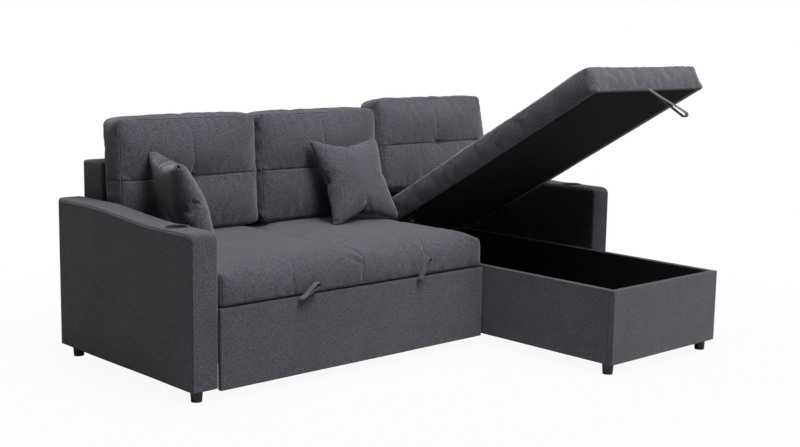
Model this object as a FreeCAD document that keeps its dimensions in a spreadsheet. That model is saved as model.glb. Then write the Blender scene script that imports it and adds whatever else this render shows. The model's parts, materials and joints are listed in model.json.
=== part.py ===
import FreeCAD, Part
import os
import re
import Sketcher
from math import cos, radians, sin
from FreeCAD import Placement, Rotation, Vector

# Storage sofa with a lift-up chaise seat and a pull-out bed section.
# Every piece is drawn from one corner: x runs from the outer face of the left arm to the right,
# y from the front plane of the arms to the back, z up from the floor. The pieces are then
# placed so that the origin is on the floor, at the middle of the whole with the seat open.

doc = FreeCAD.newDocument("storage_sofa")
sheet = doc.addObject("Spreadsheet::Sheet", "Sizes")

SIZES = [
    # The whole
    ("overall_width", "2080", "outer face of the left arm to outer face of the right arm"),
    ("overall_depth", "855", "front of the arms to the rear of the back"),
    ("open_reach", "690", "from the arms forward to the tip of the raised strap"),
    ("ground_clearance", "40", "floor to the underside of the body"),
    ("timber", "22", "thickness of the frame rails"),
    ("skin", "12", "padded cover over the arms and the back"),
    ("skin_fit", "0.5", "room between a frame and its cover"),
    ("joint_gap", "1", "room between two upholstered blocks that stand side by side"),
    # Arms
    ("arm_width", "100", "thickness of an arm"),
    ("arm_front_height", "554", "floor to the flat around the cup holder"),
    ("arm_rear_height", "578", "floor to the rear part of the arm"),
    ("arm_flat", "205", "length of the front flat"),
    ("arm_rise", "190", "length of the slope behind the flat"),
    ("arm_edge", "14", "radius of the long edges of an arm"),
    ("arm_nose", "26", "radius of the front top edge of an arm"),
    ("arm_slope_round", "240", "radius of the two bends of the slope"),
    ("arm_padding", "24", "padding between the arm's top and its frame"),
    ("cup_radius", "39", "radius of the cup holder's hole"),
    ("cup_depth", "72", "depth of the cup holder"),
    ("cup_setback", "160", "front of the arm to the middle of the cup holder"),
    ("cup_wall", "2.5", "wall of the plastic cup"),
    ("cup_sink", "2", "rim of the cup below the arm's top"),
    # Back
    ("back_height", "710", "floor to the top of the back frame"),
    ("back_depth", "140", "depth of the back frame with its cover"),
    ("back_edge", "14", "radius of the back's top edges"),
    # Feet
    ("foot_radius", "21", "radius of a foot at its top"),
    ("foot_toe_radius", "18", "radius of a foot at the floor"),
    ("foot_inset", "42", "outer faces of the arms to the middle of a foot"),
    ("foot_rear_inset", "55", "rear of the back to the middle of a rear foot"),
    # Main seat
    ("seat_underside", "306", "floor to the underside of the seat cushions"),
    ("seat_boxing", "112", "height of the seat cushion's sides"),
    ("seat_crown", "20", "rise of the seat cushion's middle over its sides"),
    ("seat_corner", "20", "corner radius of the seat cushion seen from above"),
    ("seat_tuft_radius", "40", "radius of the dimple round a tuft of the seat"),
    ("seat_tuft_depth", "12", "depth of a tuft of the seat"),
    ("seat_overhang", "13", "seat cushion's front beyond the arms' front plane"),
    ("deck_thickness", "12", "plywood under the seat cushion"),
    ("deck_setback", "14", "arms' front plane to the deck and the partition"),
    ("partition_thickness", "18", "board between the bed bay and the chaise box"),
    ("rail_height", "174", "height of the seat rail that carries a bed runner"),
    # Chaise box
    ("chaise_offset", "7", "seat cushion's right side to the chaise box"),
    ("arm_packer", "34", "chaise box to the right arm"),
    ("chaise_width", "630", "width of the chaise box"),
    ("chaise_reach", "635", "arms' front plane forward to the chaise box's front"),
    ("chaise_height", "308", "floor to the rim of the chaise box"),
    ("panel_thickness", "24", "upholstered panel of the chaise box"),
    ("floor_board", "10", "board that closes the bottom of the chaise box"),
    ("batten_width", "70", "width of the battens under the floor board"),
    ("batten_height", "18", "height of the battens under the floor board"),
    ("lining", "1.5", "black lining cloth of the chaise box"),
    ("lining_drop", "3", "rim of the chaise box to the top of its lining"),
    ("packer_length", "100", "length of a block between the box and the right arm"),
    ("packer_height", "150", "height of a block between the box and the right arm"),
    # Lid with the chaise cushion
    ("lid_gap", "1.5", "rim of the box to the closed lid"),
    ("lid_boxing", "100", "height of the chaise cushion's sides"),
    ("lid_crown", "20", "rise of the chaise cushion's middle over its sides"),
    ("lid_corner", "24", "corner radius of the chaise cushion seen from above"),
    ("lid_edge_cover", "14", "fabric and foam around the lid's frame"),
    ("lid_overhang", "26", "chaise box's right side to the right side of the lid's cushion"),
    ("lid_board", "3", "black board that closes the underside of the lid"),
    ("lid_rail_width", "60", "width of the lid frame's rails"),
    ("lid_rail_height", "19", "height of the lid frame's rails"),
    ("lid_open_angle", "29.8", "angle of the raised lid"),
    ("lid_seam_reach", "30", "arms' front plane forward to the cross seam of the lid"),
    # Lid hinges
    ("hinge_height", "432", "floor to the hinge line"),
    ("hinge_stand_off", "9", "hinge line to the front of the back frame"),
    ("knuckle_radius", "7", "outer radius of a hinge knuckle"),
    ("knuckle_length", "20", "length of a hinge knuckle"),
    ("knuckle_gap", "0.5", "room between two knuckles"),
    ("hinge_pin_radius", "3.5", "radius of a hinge pin"),
    ("pin_play", "0.08", "radial room of a turning bore on its pin"),
    ("leaf_thickness", "3", "steel plate of hinges and brackets"),
    ("leaf_height", "56", "height of a hinge leaf below the hinge line"),
    ("hinge_inset", "90", "side of the chaise box to the middle of a hinge"),
    # Gas struts
    ("strut_base_inset", "20", "rear panel of the box to the struts' lower pins"),
    ("strut_top_inset", "200", "rear panel of the box to the upper pins, lid closed"),
    ("strut_base_height", "175", "floor to the struts' lower pins"),
    ("strut_top_drop", "17.5", "underside of the lid to the upper pins"),
    ("strut_inset", "22", "inner side of the box to the middle of a strut"),
    ("strut_tube_radius", "9", "radius of a strut's cylinder"),
    ("strut_tube_length", "150", "length of a strut's cylinder"),
    ("strut_rod_radius", "4", "radius of a strut's rod"),
    ("strut_rod_length", "190", "upper pin to the inner end of the rod"),
    ("strut_eye_radius", "9", "outer radius of the lower eye"),
    ("strut_top_eye_radius", "12", "outer radius of the upper eye"),
    ("strut_eye_width", "12", "width of both eyes"),
    ("strut_pin_radius", "4", "radius of the strut pins"),
    ("strut_top_play", "3.6", "radial room of the upper eye on its pin"),
    ("strut_bracket", "40", "length of a strut bracket's plate"),
    # Back cushions
    ("cushion_gap", "6", "room between two back cushions"),
    ("cushion_side_gap", "27", "right back cushion to the right arm"),
    ("back_cushion_height", "420", "height of a back cushion between its seams"),
    ("right_cushion_height", "396", "height of the right back cushion, its foot pressed together"),
    ("back_cushion_depth", "108", "thickness of a back cushion between its seams"),
    ("back_cushion_bulge", "20", "swell of a back cushion's front"),
    ("back_cushion_corner", "26", "corner radius of a back cushion seen from the front"),
    ("back_cushion_pull", "5", "draw-in of a back cushion's sides at their middles"),
    ("back_tuft_radius", "36", "radius of the dimple round a back cushion's tuft"),
    ("back_tuft_depth", "14", "depth of a back cushion's tuft"),
    ("back_tuft_sink", "6", "front of the swell down to the cross seam"),
    ("back_crease", "5", "depth and half width of the crease above a back cushion's tuft"),
    ("back_cushion_foot", "21", "back frame to a back cushion's lower rear edge"),
    ("back_cushion_lift", "2", "seat cushion's crown to the back cushions"),
    ("back_cushion_angle", "4.1", "backward lean of a back cushion in degrees"),
    ("cushion_seam_drop", "0.53", "share of the height above the cross seam of a back cushion"),
    ("raised_angle", "9", "turn of the right back cushion while the lid opens, in degrees"),
    ("raised_lift", "88", "rise of its lower front edge while the lid opens"),
    ("raised_shift", "38", "forward travel of that edge while the lid opens"),
    # Throw pillows
    ("pillow_size", "353", "corner to corner along a side of the middle pillow"),
    ("side_pillow_size", "342", "corner to corner along a side of the left pillow"),
    ("pillow_thickness", "118", "thickness of a throw pillow at its middle"),
    ("pillow_lift", "6", "seat cushion's crown to the lower corners of a pillow"),
    ("middle_pillow_inset", "230", "seat cushion's right side to the middle pillow's middle"),
    ("middle_pillow_reach", "110", "back cushions' front to the middle pillow's middle"),
    ("side_pillow_inset", "125", "seat cushion's left side to the left pillow's middle"),
    ("side_pillow_reach", "186", "back cushions' front to the left pillow's middle"),
    ("middle_pillow_angle", "25.6", "backward lean of the middle pillow in degrees"),
    ("side_pillow_turn_angle", "107.5", "turn of the left pillow towards the left arm in degrees"),
    ("side_pillow_lean_angle", "22.5", "lean of the left pillow towards the left arm in degrees"),
    ("side_pillow_roll_angle", "2", "dip of the left pillow's front corner in degrees"),
    # Pull-out bed
    ("bed_panel_clearance", "33", "floor to the bed's front panel"),
    ("bed_panel_gap", "4", "bed's front panel to the seat cushion above it"),
    ("bed_panel_reach", "11", "bed's front panel beyond the arms' front plane"),
    ("bed_panel_thickness", "20", "thickness of the bed's front panel"),
    ("bed_rear_gap", "3", "bed frame to the seat rail behind it"),
    ("bed_frame_base", "120", "floor to the underside of the bed frame"),
    ("bed_rail_height", "70", "height of the bed frame's rails"),
    ("bed_rail", "18", "thickness of the bed frame's rails"),
    ("bed_deck", "10", "plywood on the bed frame"),
    ("bed_headroom", "8", "bed mattress to the seat deck"),
    ("mattress_inset", "10", "bed frame's edge to the mattress"),
    ("runner_depth", "12", "depth of a drawer runner"),
    ("runner_height", "40", "height of a drawer runner"),
    ("runner_wall", "2", "steel of a drawer runner"),
    ("runner_play", "1", "room of the sliding bar in its runner"),
    ("runner_setback", "20", "arms' front plane to the front of the runners"),
    ("runner_rise", "10", "underside of the bed frame to the runners"),
    ("side_play", "4.5", "runner to the bed frame"),
    ("wheel_radius", "25", "radius of a caster wheel"),
    ("wheel_width", "20", "width of a caster wheel"),
    ("wheel_lift", "1", "floor to a caster wheel"),
    ("wheel_side_play", "1", "room between a wheel and its fork"),
    ("axle_radius", "4", "radius of a caster axle"),
    ("fork_plate", "3", "steel of a caster fork"),
    ("fork_length", "40", "length of a caster fork"),
    ("wheel_inset", "80", "bed frame's side to a caster wheel"),
    ("wheel_setback", "90", "arms' front plane to the axles"),
    ("link_room", "11.5", "lifting link to the rails before and behind it"),
    ("link_thickness", "4", "steel of the bed's lifting links"),
    ("link_height", "24", "height of a lifting link"),
    # Webbing straps
    ("webbing", "2", "thickness of the webbing"),
    ("webbing_width", "22", "width of the webbing"),
    ("strap_sewn", "24", "stitched part of the lid's pull loop"),
    ("bed_strap_sewn", "12", "stitched part of a pull loop of the bed"),
    ("strap_length", "190", "length of the lid's pull loop"),
    ("strap_opening", "15", "widest opening of the lid's pull loop"),
    ("strap_angle", "57", "angle of the lid's loop below the lid, in degrees"),
    ("strap_side", "292", "left side of the lid to the lid's loop"),
    ("bed_strap_length", "92", "length of a pull loop of the bed"),
    ("bed_strap_opening", "12", "widest opening of a pull loop of the bed"),
    ("bed_strap_first", "312", "left side of the seat to the first loop of the bed"),
    ("bed_strap_second", "860", "left side of the seat to the second loop of the bed"),
    ("bed_strap_stand_off", "5", "bed's front panel to its pull loops"),
    ("bed_strap_first_angle", "59", "sideways lean of the first loop in degrees"),
    ("bed_strap_second_angle", "32", "sideways lean of the second loop in degrees"),
]

DERIVED = [
    ("origin_setback", "(overall_depth - open_reach) / 2"),
    ("seat_left", "arm_width + joint_gap"),
    ("right_arm_face", "overall_width - arm_width"),
    ("seat_right", "right_arm_face - arm_packer - chaise_width - chaise_offset"),
    ("seat_width", "seat_right - seat_left"),
    ("back_front", "overall_depth - back_depth"),
    ("chaise_left", "seat_right + chaise_offset"),
    ("chaise_right", "chaise_left + chaise_width"),
    ("box_left", "chaise_left + panel_thickness"),
    ("box_right", "chaise_right - panel_thickness"),
    ("box_rear", "back_front - joint_gap - panel_thickness"),
    ("floor_top", "ground_clearance + batten_height + floor_board"),
    ("seat_top", "seat_underside + seat_boxing + seat_crown"),
    ("deck_base", "seat_underside - deck_thickness"),
    ("partition_right", "seat_right - joint_gap"),
    ("partition_left", "partition_right - partition_thickness"),
    ("rail_left", "arm_width + skin_fit"),
    ("rail_right", "rail_left + timber"),
    ("hinge_y", "back_front - hinge_stand_off"),
    ("lid_underside", "chaise_height + lid_gap"),
    ("lid_rear", "hinge_y - knuckle_radius - leaf_thickness"),
    ("lid_length", "chaise_reach + lid_rear"),
    ("bed_left", "rail_right + runner_depth + side_play"),
    ("bed_right", "partition_left - runner_depth - side_play"),
    ("bed_front", "bed_panel_thickness - bed_panel_reach"),
    ("bed_rear", "back_front - joint_gap - timber - bed_rear_gap"),
    ("bed_length", "bed_rear - bed_front"),
    ("bed_panel_top", "seat_underside - bed_panel_gap"),
    ("bed_deck_base", "bed_frame_base + bed_rail_height"),
    ("mattress_base", "bed_deck_base + bed_deck"),
    ("mattress_top", "deck_base - bed_headroom"),
    ("runner_base", "bed_frame_base + runner_rise"),
    ("axle_height", "wheel_lift + wheel_radius"),
    ("strut_left", "box_left + strut_inset"),
    ("strut_base_setback", "box_rear - strut_base_inset"),
    ("strut_top_setback", "box_rear - strut_top_inset"),
    ("strut_right", "box_right - strut_inset"),
    ("back_cushion_base", "seat_top + back_cushion_lift"),
    ("back_cushion_setback", "back_front - back_cushion_foot - back_cushion_depth"),
    ("back_cushion_width", "seat_width / 2"),
    ("right_cushion_left", "seat_left + 2 * (back_cushion_width + cushion_gap)"),
    ("right_cushion_width", "right_arm_face - cushion_side_gap - right_cushion_left"),
    ("link_length", "(bed_length - 3 * bed_rail) / 2 - 2 * link_room"),
]

NAMES = [row[0] for row in SIZES + DERIVED]


def fill_sheet():
    for row, (name, value, meaning) in enumerate(SIZES, 1):
        sheet.set(f"A{row}", meaning)
        sheet.set(f"B{row}", value)
        sheet.setAlias(f"B{row}", name)
    doc.recompute()
    for row, (name, formula) in enumerate(DERIVED, len(SIZES) + 1):
        sheet.set(f"A{row}", name.replace("_", " "))
        sheet.set(f"B{row}", "=" + formula)
        sheet.setAlias(f"B{row}", name)
    doc.recompute()


def bind(formula):
    """Write a formula of size names the way an expression of the document reads it."""
    return re.sub(r"[a-z]\w*", lambda word: f"Sizes.{word[0]}" if word[0] in NAMES else word[0], formula)


class Values:
    """The sheet's sizes as plain numbers, for the forms that are drawn as lofts."""

    def __getattr__(self, name):
        return float(sheet.get(name))


size = Values()
nodes = []


def new_body(label):
    body = doc.addObject("PartDesign::Body", label)
    body.Label = label
    body.setExpression("Placement.Base.x", bind("-overall_width / 2"))
    body.setExpression("Placement.Base.y", bind("-origin_setback"))
    nodes.append(body)
    return body


def turn_about_hinge(body):
    """Raise a body that is drawn from the hinge line to the angle of the open lid."""
    body.Placement = Placement(Vector(0, 0, 0), Rotation(Vector(1, 0, 0), -size.lid_open_angle))
    body.setExpression("Placement.Base.x", bind("-overall_width / 2"))
    body.setExpression("Placement.Base.y", bind("hinge_y - origin_setback"))
    body.setExpression("Placement.Base.z", bind("hinge_height"))
    body.setExpression("Placement.Rotation.Angle", bind("-lid_open_angle"))


def set_formulas(item, names, formulas):
    for name, formula in zip(names, formulas):
        item.setExpression(name, bind(formula))


def block(body, start, extent, cut=False):
    """A box from its lowest corner and its extents, added to a body or cut from it."""
    kind = "PartDesign::SubtractiveBox" if cut else "PartDesign::AdditiveBox"
    item = body.newObject(kind, "Block")
    set_formulas(item, ("Length", "Width", "Height"), extent)
    set_formulas(item, ("Placement.Base.x", "Placement.Base.y", "Placement.Base.z"), start)
    return item


DIRECTIONS = {
    "x": Rotation(Vector(0, 1, 0), 90),
    "y": Rotation(Vector(1, 0, 0), -90),
    "z": Rotation(),
}


def shaft(body, start, radius, length, along="z", cut=False):
    """A round bar from the middle of its first end."""
    kind = "PartDesign::SubtractiveCylinder" if cut else "PartDesign::AdditiveCylinder"
    item = body.newObject(kind, "Shaft")
    item.Placement = Placement(Vector(0, 0, 0), DIRECTIONS[along])
    set_formulas(item, ("Radius", "Height"), (radius, length))
    set_formulas(item, ("Placement.Base.x", "Placement.Base.y", "Placement.Base.z"), start)
    return item


def side_profile(body, corners, width, start="0"):
    """Pad an outline of (y, z) corners across the sofa."""
    sketch = body.newObject("Sketcher::SketchObject", "Outline")
    plane = [item for item in body.Origin.OriginFeatures if item.Role == "YZ_Plane"]
    sketch.AttachmentSupport = [(plane[0], "")]
    sketch.MapMode = "FlatFace"
    sketch.setExpression("AttachmentOffset.Base.z", bind(start))
    places = []
    for y, z in corners:
        places.append(Vector(float(body.evalExpression(bind(y))), float(body.evalExpression(bind(z))), 0))
    count = len(corners)
    for index in range(count):
        sketch.addGeometry(Part.LineSegment(places[index], places[(index + 1) % count]), False)
    for index in range(count):
        sketch.addConstraint(Sketcher.Constraint("Coincident", index, 2, (index + 1) % count, 1))
    for index, (y, z) in enumerate(corners):
        for kind, value, formula in (("DistanceX", places[index].x, y), ("DistanceY", places[index].y, z)):
            if formula == "0":
                other = -2 if kind == "DistanceX" else -1
                sketch.addConstraint(Sketcher.Constraint("PointOnObject", index, 1, other))
                continue
            number = sketch.addConstraint(Sketcher.Constraint(kind, -1, 1, index, 1, value))
            sketch.setExpression(f"Constraints[{number}]", bind(formula))
    pad = body.newObject("PartDesign::Pad", "Pad")
    pad.Profile = sketch
    pad.setExpression("Length", bind(width))
    doc.recompute()
    return pad


def round_edges(body, chosen, radius):
    """Round the edges of the body so far that a test picks out."""
    doc.recompute()
    base = body.Tip
    names = [f"Edge{i}" for i, edge in enumerate(base.Shape.Edges, 1) if chosen(edge)]
    item = body.newObject("PartDesign::Fillet", "Round")
    item.Base = (base, names)
    item.setExpression("Radius", bind(radius))
    doc.recompute()
    return item


def runs_along(edge, axis):
    box = edge.BoundBox
    spans = {"x": box.XLength, "y": box.YLength, "z": box.ZLength}
    others = [length for name, length in spans.items() if name != axis]
    return spans[axis] > 1 and max(others) < 0.01


def is_level(edge, height):
    """Does an edge lie flat at this height, measured in the body's own frame?"""
    box = edge.BoundBox
    return box.ZLength < 0.01 and abs(box.ZMin - height) < 0.01


# Arms

def make_arm_cover(label, left):
    body = new_body(label)
    outline = [
        ("0", "ground_clearance"),
        ("0", "arm_front_height"),
        ("arm_flat", "arm_front_height"),
        ("arm_flat + arm_rise", "arm_rear_height"),
        ("overall_depth", "arm_rear_height"),
        ("overall_depth", "ground_clearance"),
    ]
    side_profile(body, outline, "arm_width", left)

    def is_slope_bend(edge):
        y = edge.BoundBox.YMin
        bends = (size.arm_flat, size.arm_flat + size.arm_rise)
        return runs_along(edge, "x") and min(abs(y - bend) for bend in bends) < 0.01

    def is_nose(edge):
        box = edge.BoundBox
        return runs_along(edge, "x") and abs(box.YMin) < 0.01 and box.ZMin > size.ground_clearance + 1

    def is_outer_edge(edge):
        box = edge.BoundBox
        return not runs_along(edge, "x") and box.ZMax > size.ground_clearance + 1

    round_edges(body, is_slope_bend, "arm_slope_round")
    round_edges(body, is_nose, "arm_nose")
    round_edges(body, is_outer_edge, "arm_edge")
    block(
        body,
        (f"{left} + skin", "skin", "ground_clearance"),
        ("arm_width - 2 * skin", "overall_depth - 2 * skin", "arm_front_height - arm_padding - ground_clearance"),
        cut=True,
    )
    shaft(
        body,
        (f"{left} + arm_width / 2", "cup_setback", "arm_front_height - 2 * cup_sink - cup_depth"),
        "cup_radius",
        "cup_depth + arm_padding",
        cut=True,
    )
    return body


def make_arm_frame(label, left):
    body = new_body(label)
    x = f"{left} + skin + skin_fit"
    wide = "arm_width - 2 * skin - 2 * skin_fit"
    low = "ground_clearance"
    top = "arm_front_height - arm_padding - skin_fit"
    front = "skin + skin_fit"
    rear = "overall_depth - skin - skin_fit"
    cup_rear = "cup_setback + cup_radius + timber"
    cup_shelf = "arm_front_height - cup_depth - 2 * timber"
    block(body, (x, front, low), (wide, f"{rear} - ({front})", "timber"))
    block(body, (x, front, low), (wide, "timber", f"{top} - {low}"))
    block(body, (x, f"{rear} - timber", low), (wide, "timber", f"{top} - {low}"))
    block(body, (x, cup_rear, low), (wide, "timber", f"{top} - {low}"))
    block(body, (x, cup_rear, f"{top} - timber"), (wide, f"{rear} - ({cup_rear})", "timber"))
    block(body, (x, front, cup_shelf), (wide, f"{cup_rear} - ({front})", "timber"))
    return body


def make_cup(label, left):
    body = new_body(label)
    centre = (f"{left} + arm_width / 2", "cup_setback")
    rim = "arm_front_height - cup_sink"
    shaft(body, (*centre, f"{rim} - cup_depth"), "cup_radius - skin_fit", "cup_depth")
    shaft(
        body,
        (*centre, f"{rim} - cup_depth + cup_wall"),
        "cup_radius - skin_fit - cup_wall",
        "cup_depth",
        cut=True,
    )
    return body


# Back

def make_back_cover():
    body = new_body("back_cover")
    left = "arm_width + skin_fit"
    wide = "overall_width - 2 * arm_width - 2 * skin_fit"
    block(body, (left, "back_front", "ground_clearance"), (wide, "back_depth", "back_height - ground_clearance"))

    def is_top(edge):
        return is_level(edge, size.back_height)

    round_edges(body, is_top, "back_edge")
    block(
        body,
        (f"{left} + skin", "back_front + skin", "ground_clearance"),
        (f"{wide} - 2 * skin", "back_depth - 2 * skin", "back_height - skin - ground_clearance"),
        cut=True,
    )
    return body


def make_back_frame():
    body = new_body("back_frame")
    left = "arm_width + skin + 2 * skin_fit"
    wide = "overall_width - 2 * arm_width - 2 * skin - 4 * skin_fit"
    front = "back_front + skin + skin_fit"
    deep = "back_depth - 2 * skin - 2 * skin_fit"
    low = "ground_clearance"
    top = "back_height - skin - skin_fit"
    for base in (low, "seat_underside", f"{top} - timber"):
        block(body, (left, front, base), (wide, deep, "timber"))
    posts = 5
    for index in range(posts):
        x = f"{left} + ({wide} - timber) * {index} / {posts - 1}"
        block(body, (x, front, low), ("timber", deep, f"{top} - {low}"))
    return body


# Feet

def foot(body, x, y):
    item = body.newObject("PartDesign::AdditiveCone", "Foot")
    set_formulas(item, ("Radius1", "Radius2", "Height"), ("foot_toe_radius", "foot_radius", "ground_clearance"))
    set_formulas(item, ("Placement.Base.x", "Placement.Base.y"), (x, y))


def make_feet():
    right = "overall_width - foot_inset"
    rear = "overall_depth - foot_rear_inset"
    front_feet = new_body("front_feet")
    for x in ("foot_inset", right):
        foot(front_feet, x, "foot_inset")
    rear_feet = new_body("rear_feet")
    for x in ("foot_inset", "(arm_width + chaise_left) / 2", "chaise_left + foot_inset", right):
        foot(rear_feet, x, rear)
    chaise_feet = new_body("chaise_feet")
    for x in ("chaise_left + foot_radius + panel_thickness / 2", "chaise_right - foot_radius - panel_thickness / 2"):
        foot(chaise_feet, x, "foot_inset - chaise_reach")
    partition_foot = new_body("partition_foot")
    foot(partition_foot, "(partition_left + partition_right) / 2", "deck_setback + foot_radius + wheel_setback")


# Main seat

def make_seat_base():
    deck = new_body("seat_deck")
    deep = "back_front - joint_gap - deck_setback"
    block(deck, ("rail_left", "deck_setback", "deck_base"), ("partition_right - rail_left", deep, "deck_thickness"))

    rails = new_body("seat_rails")
    block(rails, ("rail_left", "deck_setback", "deck_base - rail_height"), ("timber", deep, "rail_height"))
    block(
        rails,
        ("rail_right", "back_front - joint_gap - timber", "deck_base - rail_height / 2"),
        ("partition_left - rail_right", "timber", "rail_height / 2"),
    )

    partition = new_body("centre_partition")
    block(
        partition,
        ("partition_left", "deck_setback", "ground_clearance"),
        ("partition_thickness", deep, "deck_base - ground_clearance"),
    )


def make_runners():
    body = new_body("bed_runners")
    long = "back_front - joint_gap - timber - runner_setback"
    for web, flange in (
        ("rail_right", "rail_right"),
        ("partition_left - runner_wall", "partition_left - runner_depth"),
    ):
        block(body, (web, "runner_setback", "runner_base"), ("runner_wall", long, "runner_height"))
        for base in ("runner_base", "runner_base + runner_height - runner_wall"):
            block(body, (flange, "runner_setback", base), ("runner_depth", long, "runner_wall"))


# Chaise box

def make_chaise_panel(label, start, extent):
    body = new_body(label)
    block(body, (start[0], start[1], "ground_clearance"), (*extent, "chaise_height - ground_clearance"))


def make_chaise_box():
    front = "-chaise_reach"
    inner_front = "panel_thickness - chaise_reach"
    deep = f"box_rear - ({inner_front})"
    make_chaise_panel("chaise_front_panel", ("chaise_left", front), ("chaise_width", "panel_thickness"))
    make_chaise_panel("chaise_left_panel", ("chaise_left", inner_front), ("panel_thickness", deep))
    make_chaise_panel("chaise_right_panel", ("box_right", inner_front), ("panel_thickness", deep))
    make_chaise_panel("chaise_rear_panel", ("chaise_left", "box_rear"), ("chaise_width", "panel_thickness"))

    board = new_body("chaise_floor")
    block(
        board,
        ("box_left", inner_front, "floor_top - floor_board"),
        ("box_right - box_left", deep, "floor_board"),
    )

    lining = new_body("chaise_lining")
    wide = "box_right - box_left"
    tall = "chaise_height - lining_drop - floor_top"
    block(lining, ("box_left", inner_front, "floor_top"), (wide, deep, tall))
    block(
        lining,
        ("box_left + lining", f"{inner_front} + lining", "floor_top + lining"),
        (f"{wide} - 2 * lining", f"{deep} - 2 * lining", tall),
        cut=True,
    )

    battens = new_body("chaise_floor_battens")
    for y in (inner_front, f"{inner_front} + ({deep} - batten_width) / 2", "box_rear - batten_width"):
        block(battens, ("box_left", y, "ground_clearance"), ("box_right - box_left", "batten_width", "batten_height"))

    packers = new_body("arm_packers")
    for y in ("packer_length / 2", "back_front - 2 * packer_length"):
        block(
            packers,
            ("chaise_right", y, "ground_clearance + packer_length / 2"),
            ("right_arm_face - chaise_right", "packer_length", "packer_height"),
        )


# Lid hinges

def make_hinges():
    places = ("chaise_left + hinge_inset", "chaise_right - hinge_inset")
    half = "knuckle_length / 2"
    fixed = new_body("hinge_back_leaves")
    pins = new_body("hinge_pins")
    moving = new_body("hinge_lid_leaves")
    turn_about_hinge(moving)
    for x in places:
        far = f"{x} - 1.5 * knuckle_length - knuckle_gap"
        block(
            fixed,
            (far, "back_front - leaf_thickness", "hinge_height - leaf_height"),
            ("3 * knuckle_length + 2 * knuckle_gap", "leaf_thickness", "leaf_height - knuckle_radius - joint_gap"),
        )
        for start in (far, f"{x} + {half} + knuckle_gap"):
            shaft(fixed, (start, "hinge_y", "hinge_height"), "knuckle_radius", "knuckle_length", "x")
            block(
                fixed,
                (start, "hinge_y", "hinge_height - 2 * knuckle_radius"),
                ("knuckle_length", "hinge_stand_off", "2 * knuckle_radius"),
            )
        shaft(
            pins,
            (far, "hinge_y", "hinge_height"),
            "hinge_pin_radius",
            "3 * knuckle_length + 2 * knuckle_gap",
            "x",
        )
        block(
            moving,
            (f"{x} - {half}", "-knuckle_radius - leaf_thickness", "-leaf_height"),
            ("knuckle_length", "leaf_thickness", "leaf_height"),
        )
        block(
            moving,
            (f"{x} - {half}", "-knuckle_radius - leaf_thickness", "-leaf_thickness"),
            ("knuckle_length", "knuckle_radius + leaf_thickness", "leaf_thickness"),
        )
        shaft(moving, (f"{x} - {half}", "0", "0"), "knuckle_radius", "knuckle_length", "x")
    for x in places:
        far = f"{x} - 1.5 * knuckle_length - knuckle_gap"
        long = "3 * knuckle_length + 2 * knuckle_gap"
        shaft(fixed, (far, "hinge_y", "hinge_height"), "hinge_pin_radius", long, "x", cut=True)
        shaft(moving, (f"{x} - {half}", "0", "0"), "hinge_pin_radius + pin_play", "knuckle_length", "x", cut=True)


# Gas struts

STRUT_DERIVED = [
    ("strut_arm", "strut_top_setback - hinge_y"),
    ("strut_fall", "lid_underside - strut_top_drop - hinge_height"),
    ("strut_open_y", "hinge_y + strut_arm * cos(lid_open_angle) + strut_fall * sin(lid_open_angle)"),
    ("strut_open_z", "hinge_height - strut_arm * sin(lid_open_angle) + strut_fall * cos(lid_open_angle)"),
    ("strut_run", "strut_base_setback - strut_open_y"),
    ("strut_climb", "strut_open_z - strut_base_height"),
    ("strut_open_length", "sqrt(strut_run ^ 2 + strut_climb ^ 2)"),
    ("strut_tilt", "atan(strut_run / strut_climb) / 1 deg"),
]
DERIVED += STRUT_DERIVED
NAMES += [row[0] for row in STRUT_DERIVED]


def lay_on_strut(body, x):
    """Place a body that is drawn up from the lower pin along the line of an open strut."""
    body.Placement = Placement(Vector(0, 0, 0), Rotation(Vector(1, 0, 0), size.strut_tilt))
    body.setExpression("Placement.Base.x", bind(f"{x} - overall_width / 2"))
    body.setExpression("Placement.Base.y", bind("strut_base_setback - origin_setback"))
    body.setExpression("Placement.Base.z", bind("strut_base_height"))
    body.setExpression("Placement.Rotation.Angle", bind("strut_tilt"))


def make_strut(side, x):
    half = "strut_eye_width / 2"
    tube = new_body(f"{side}_strut_cylinder")
    lay_on_strut(tube, x)
    shaft(tube, (f"-{half}", "0", "0"), "strut_eye_radius", "strut_eye_width", "x")
    shaft(tube, ("0", "0", "strut_eye_radius / 2"), "strut_tube_radius", "strut_tube_length + strut_eye_radius / 2")
    shaft(
        tube,
        ("0", "0", "2 * strut_eye_radius"),
        "strut_rod_radius + pin_play",
        "strut_tube_length",
        cut=True,
    )
    shaft(tube, (f"-{half}", "0", "0"), "strut_pin_radius + pin_play", "strut_eye_width", "x", cut=True)

    rod = new_body(f"{side}_strut_rod")
    lay_on_strut(rod, x)
    shaft(rod, ("0", "0", "strut_open_length - strut_rod_length"), "strut_rod_radius", "strut_rod_length - strut_eye_radius")
    shaft(rod, (f"-{half}", "0", "strut_open_length"), "strut_top_eye_radius", "strut_eye_width", "x")
    shaft(
        rod,
        (f"-{half}", "0", "strut_open_length"),
        "strut_pin_radius + strut_top_play",
        "strut_eye_width",
        "x",
        cut=True,
    )


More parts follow.
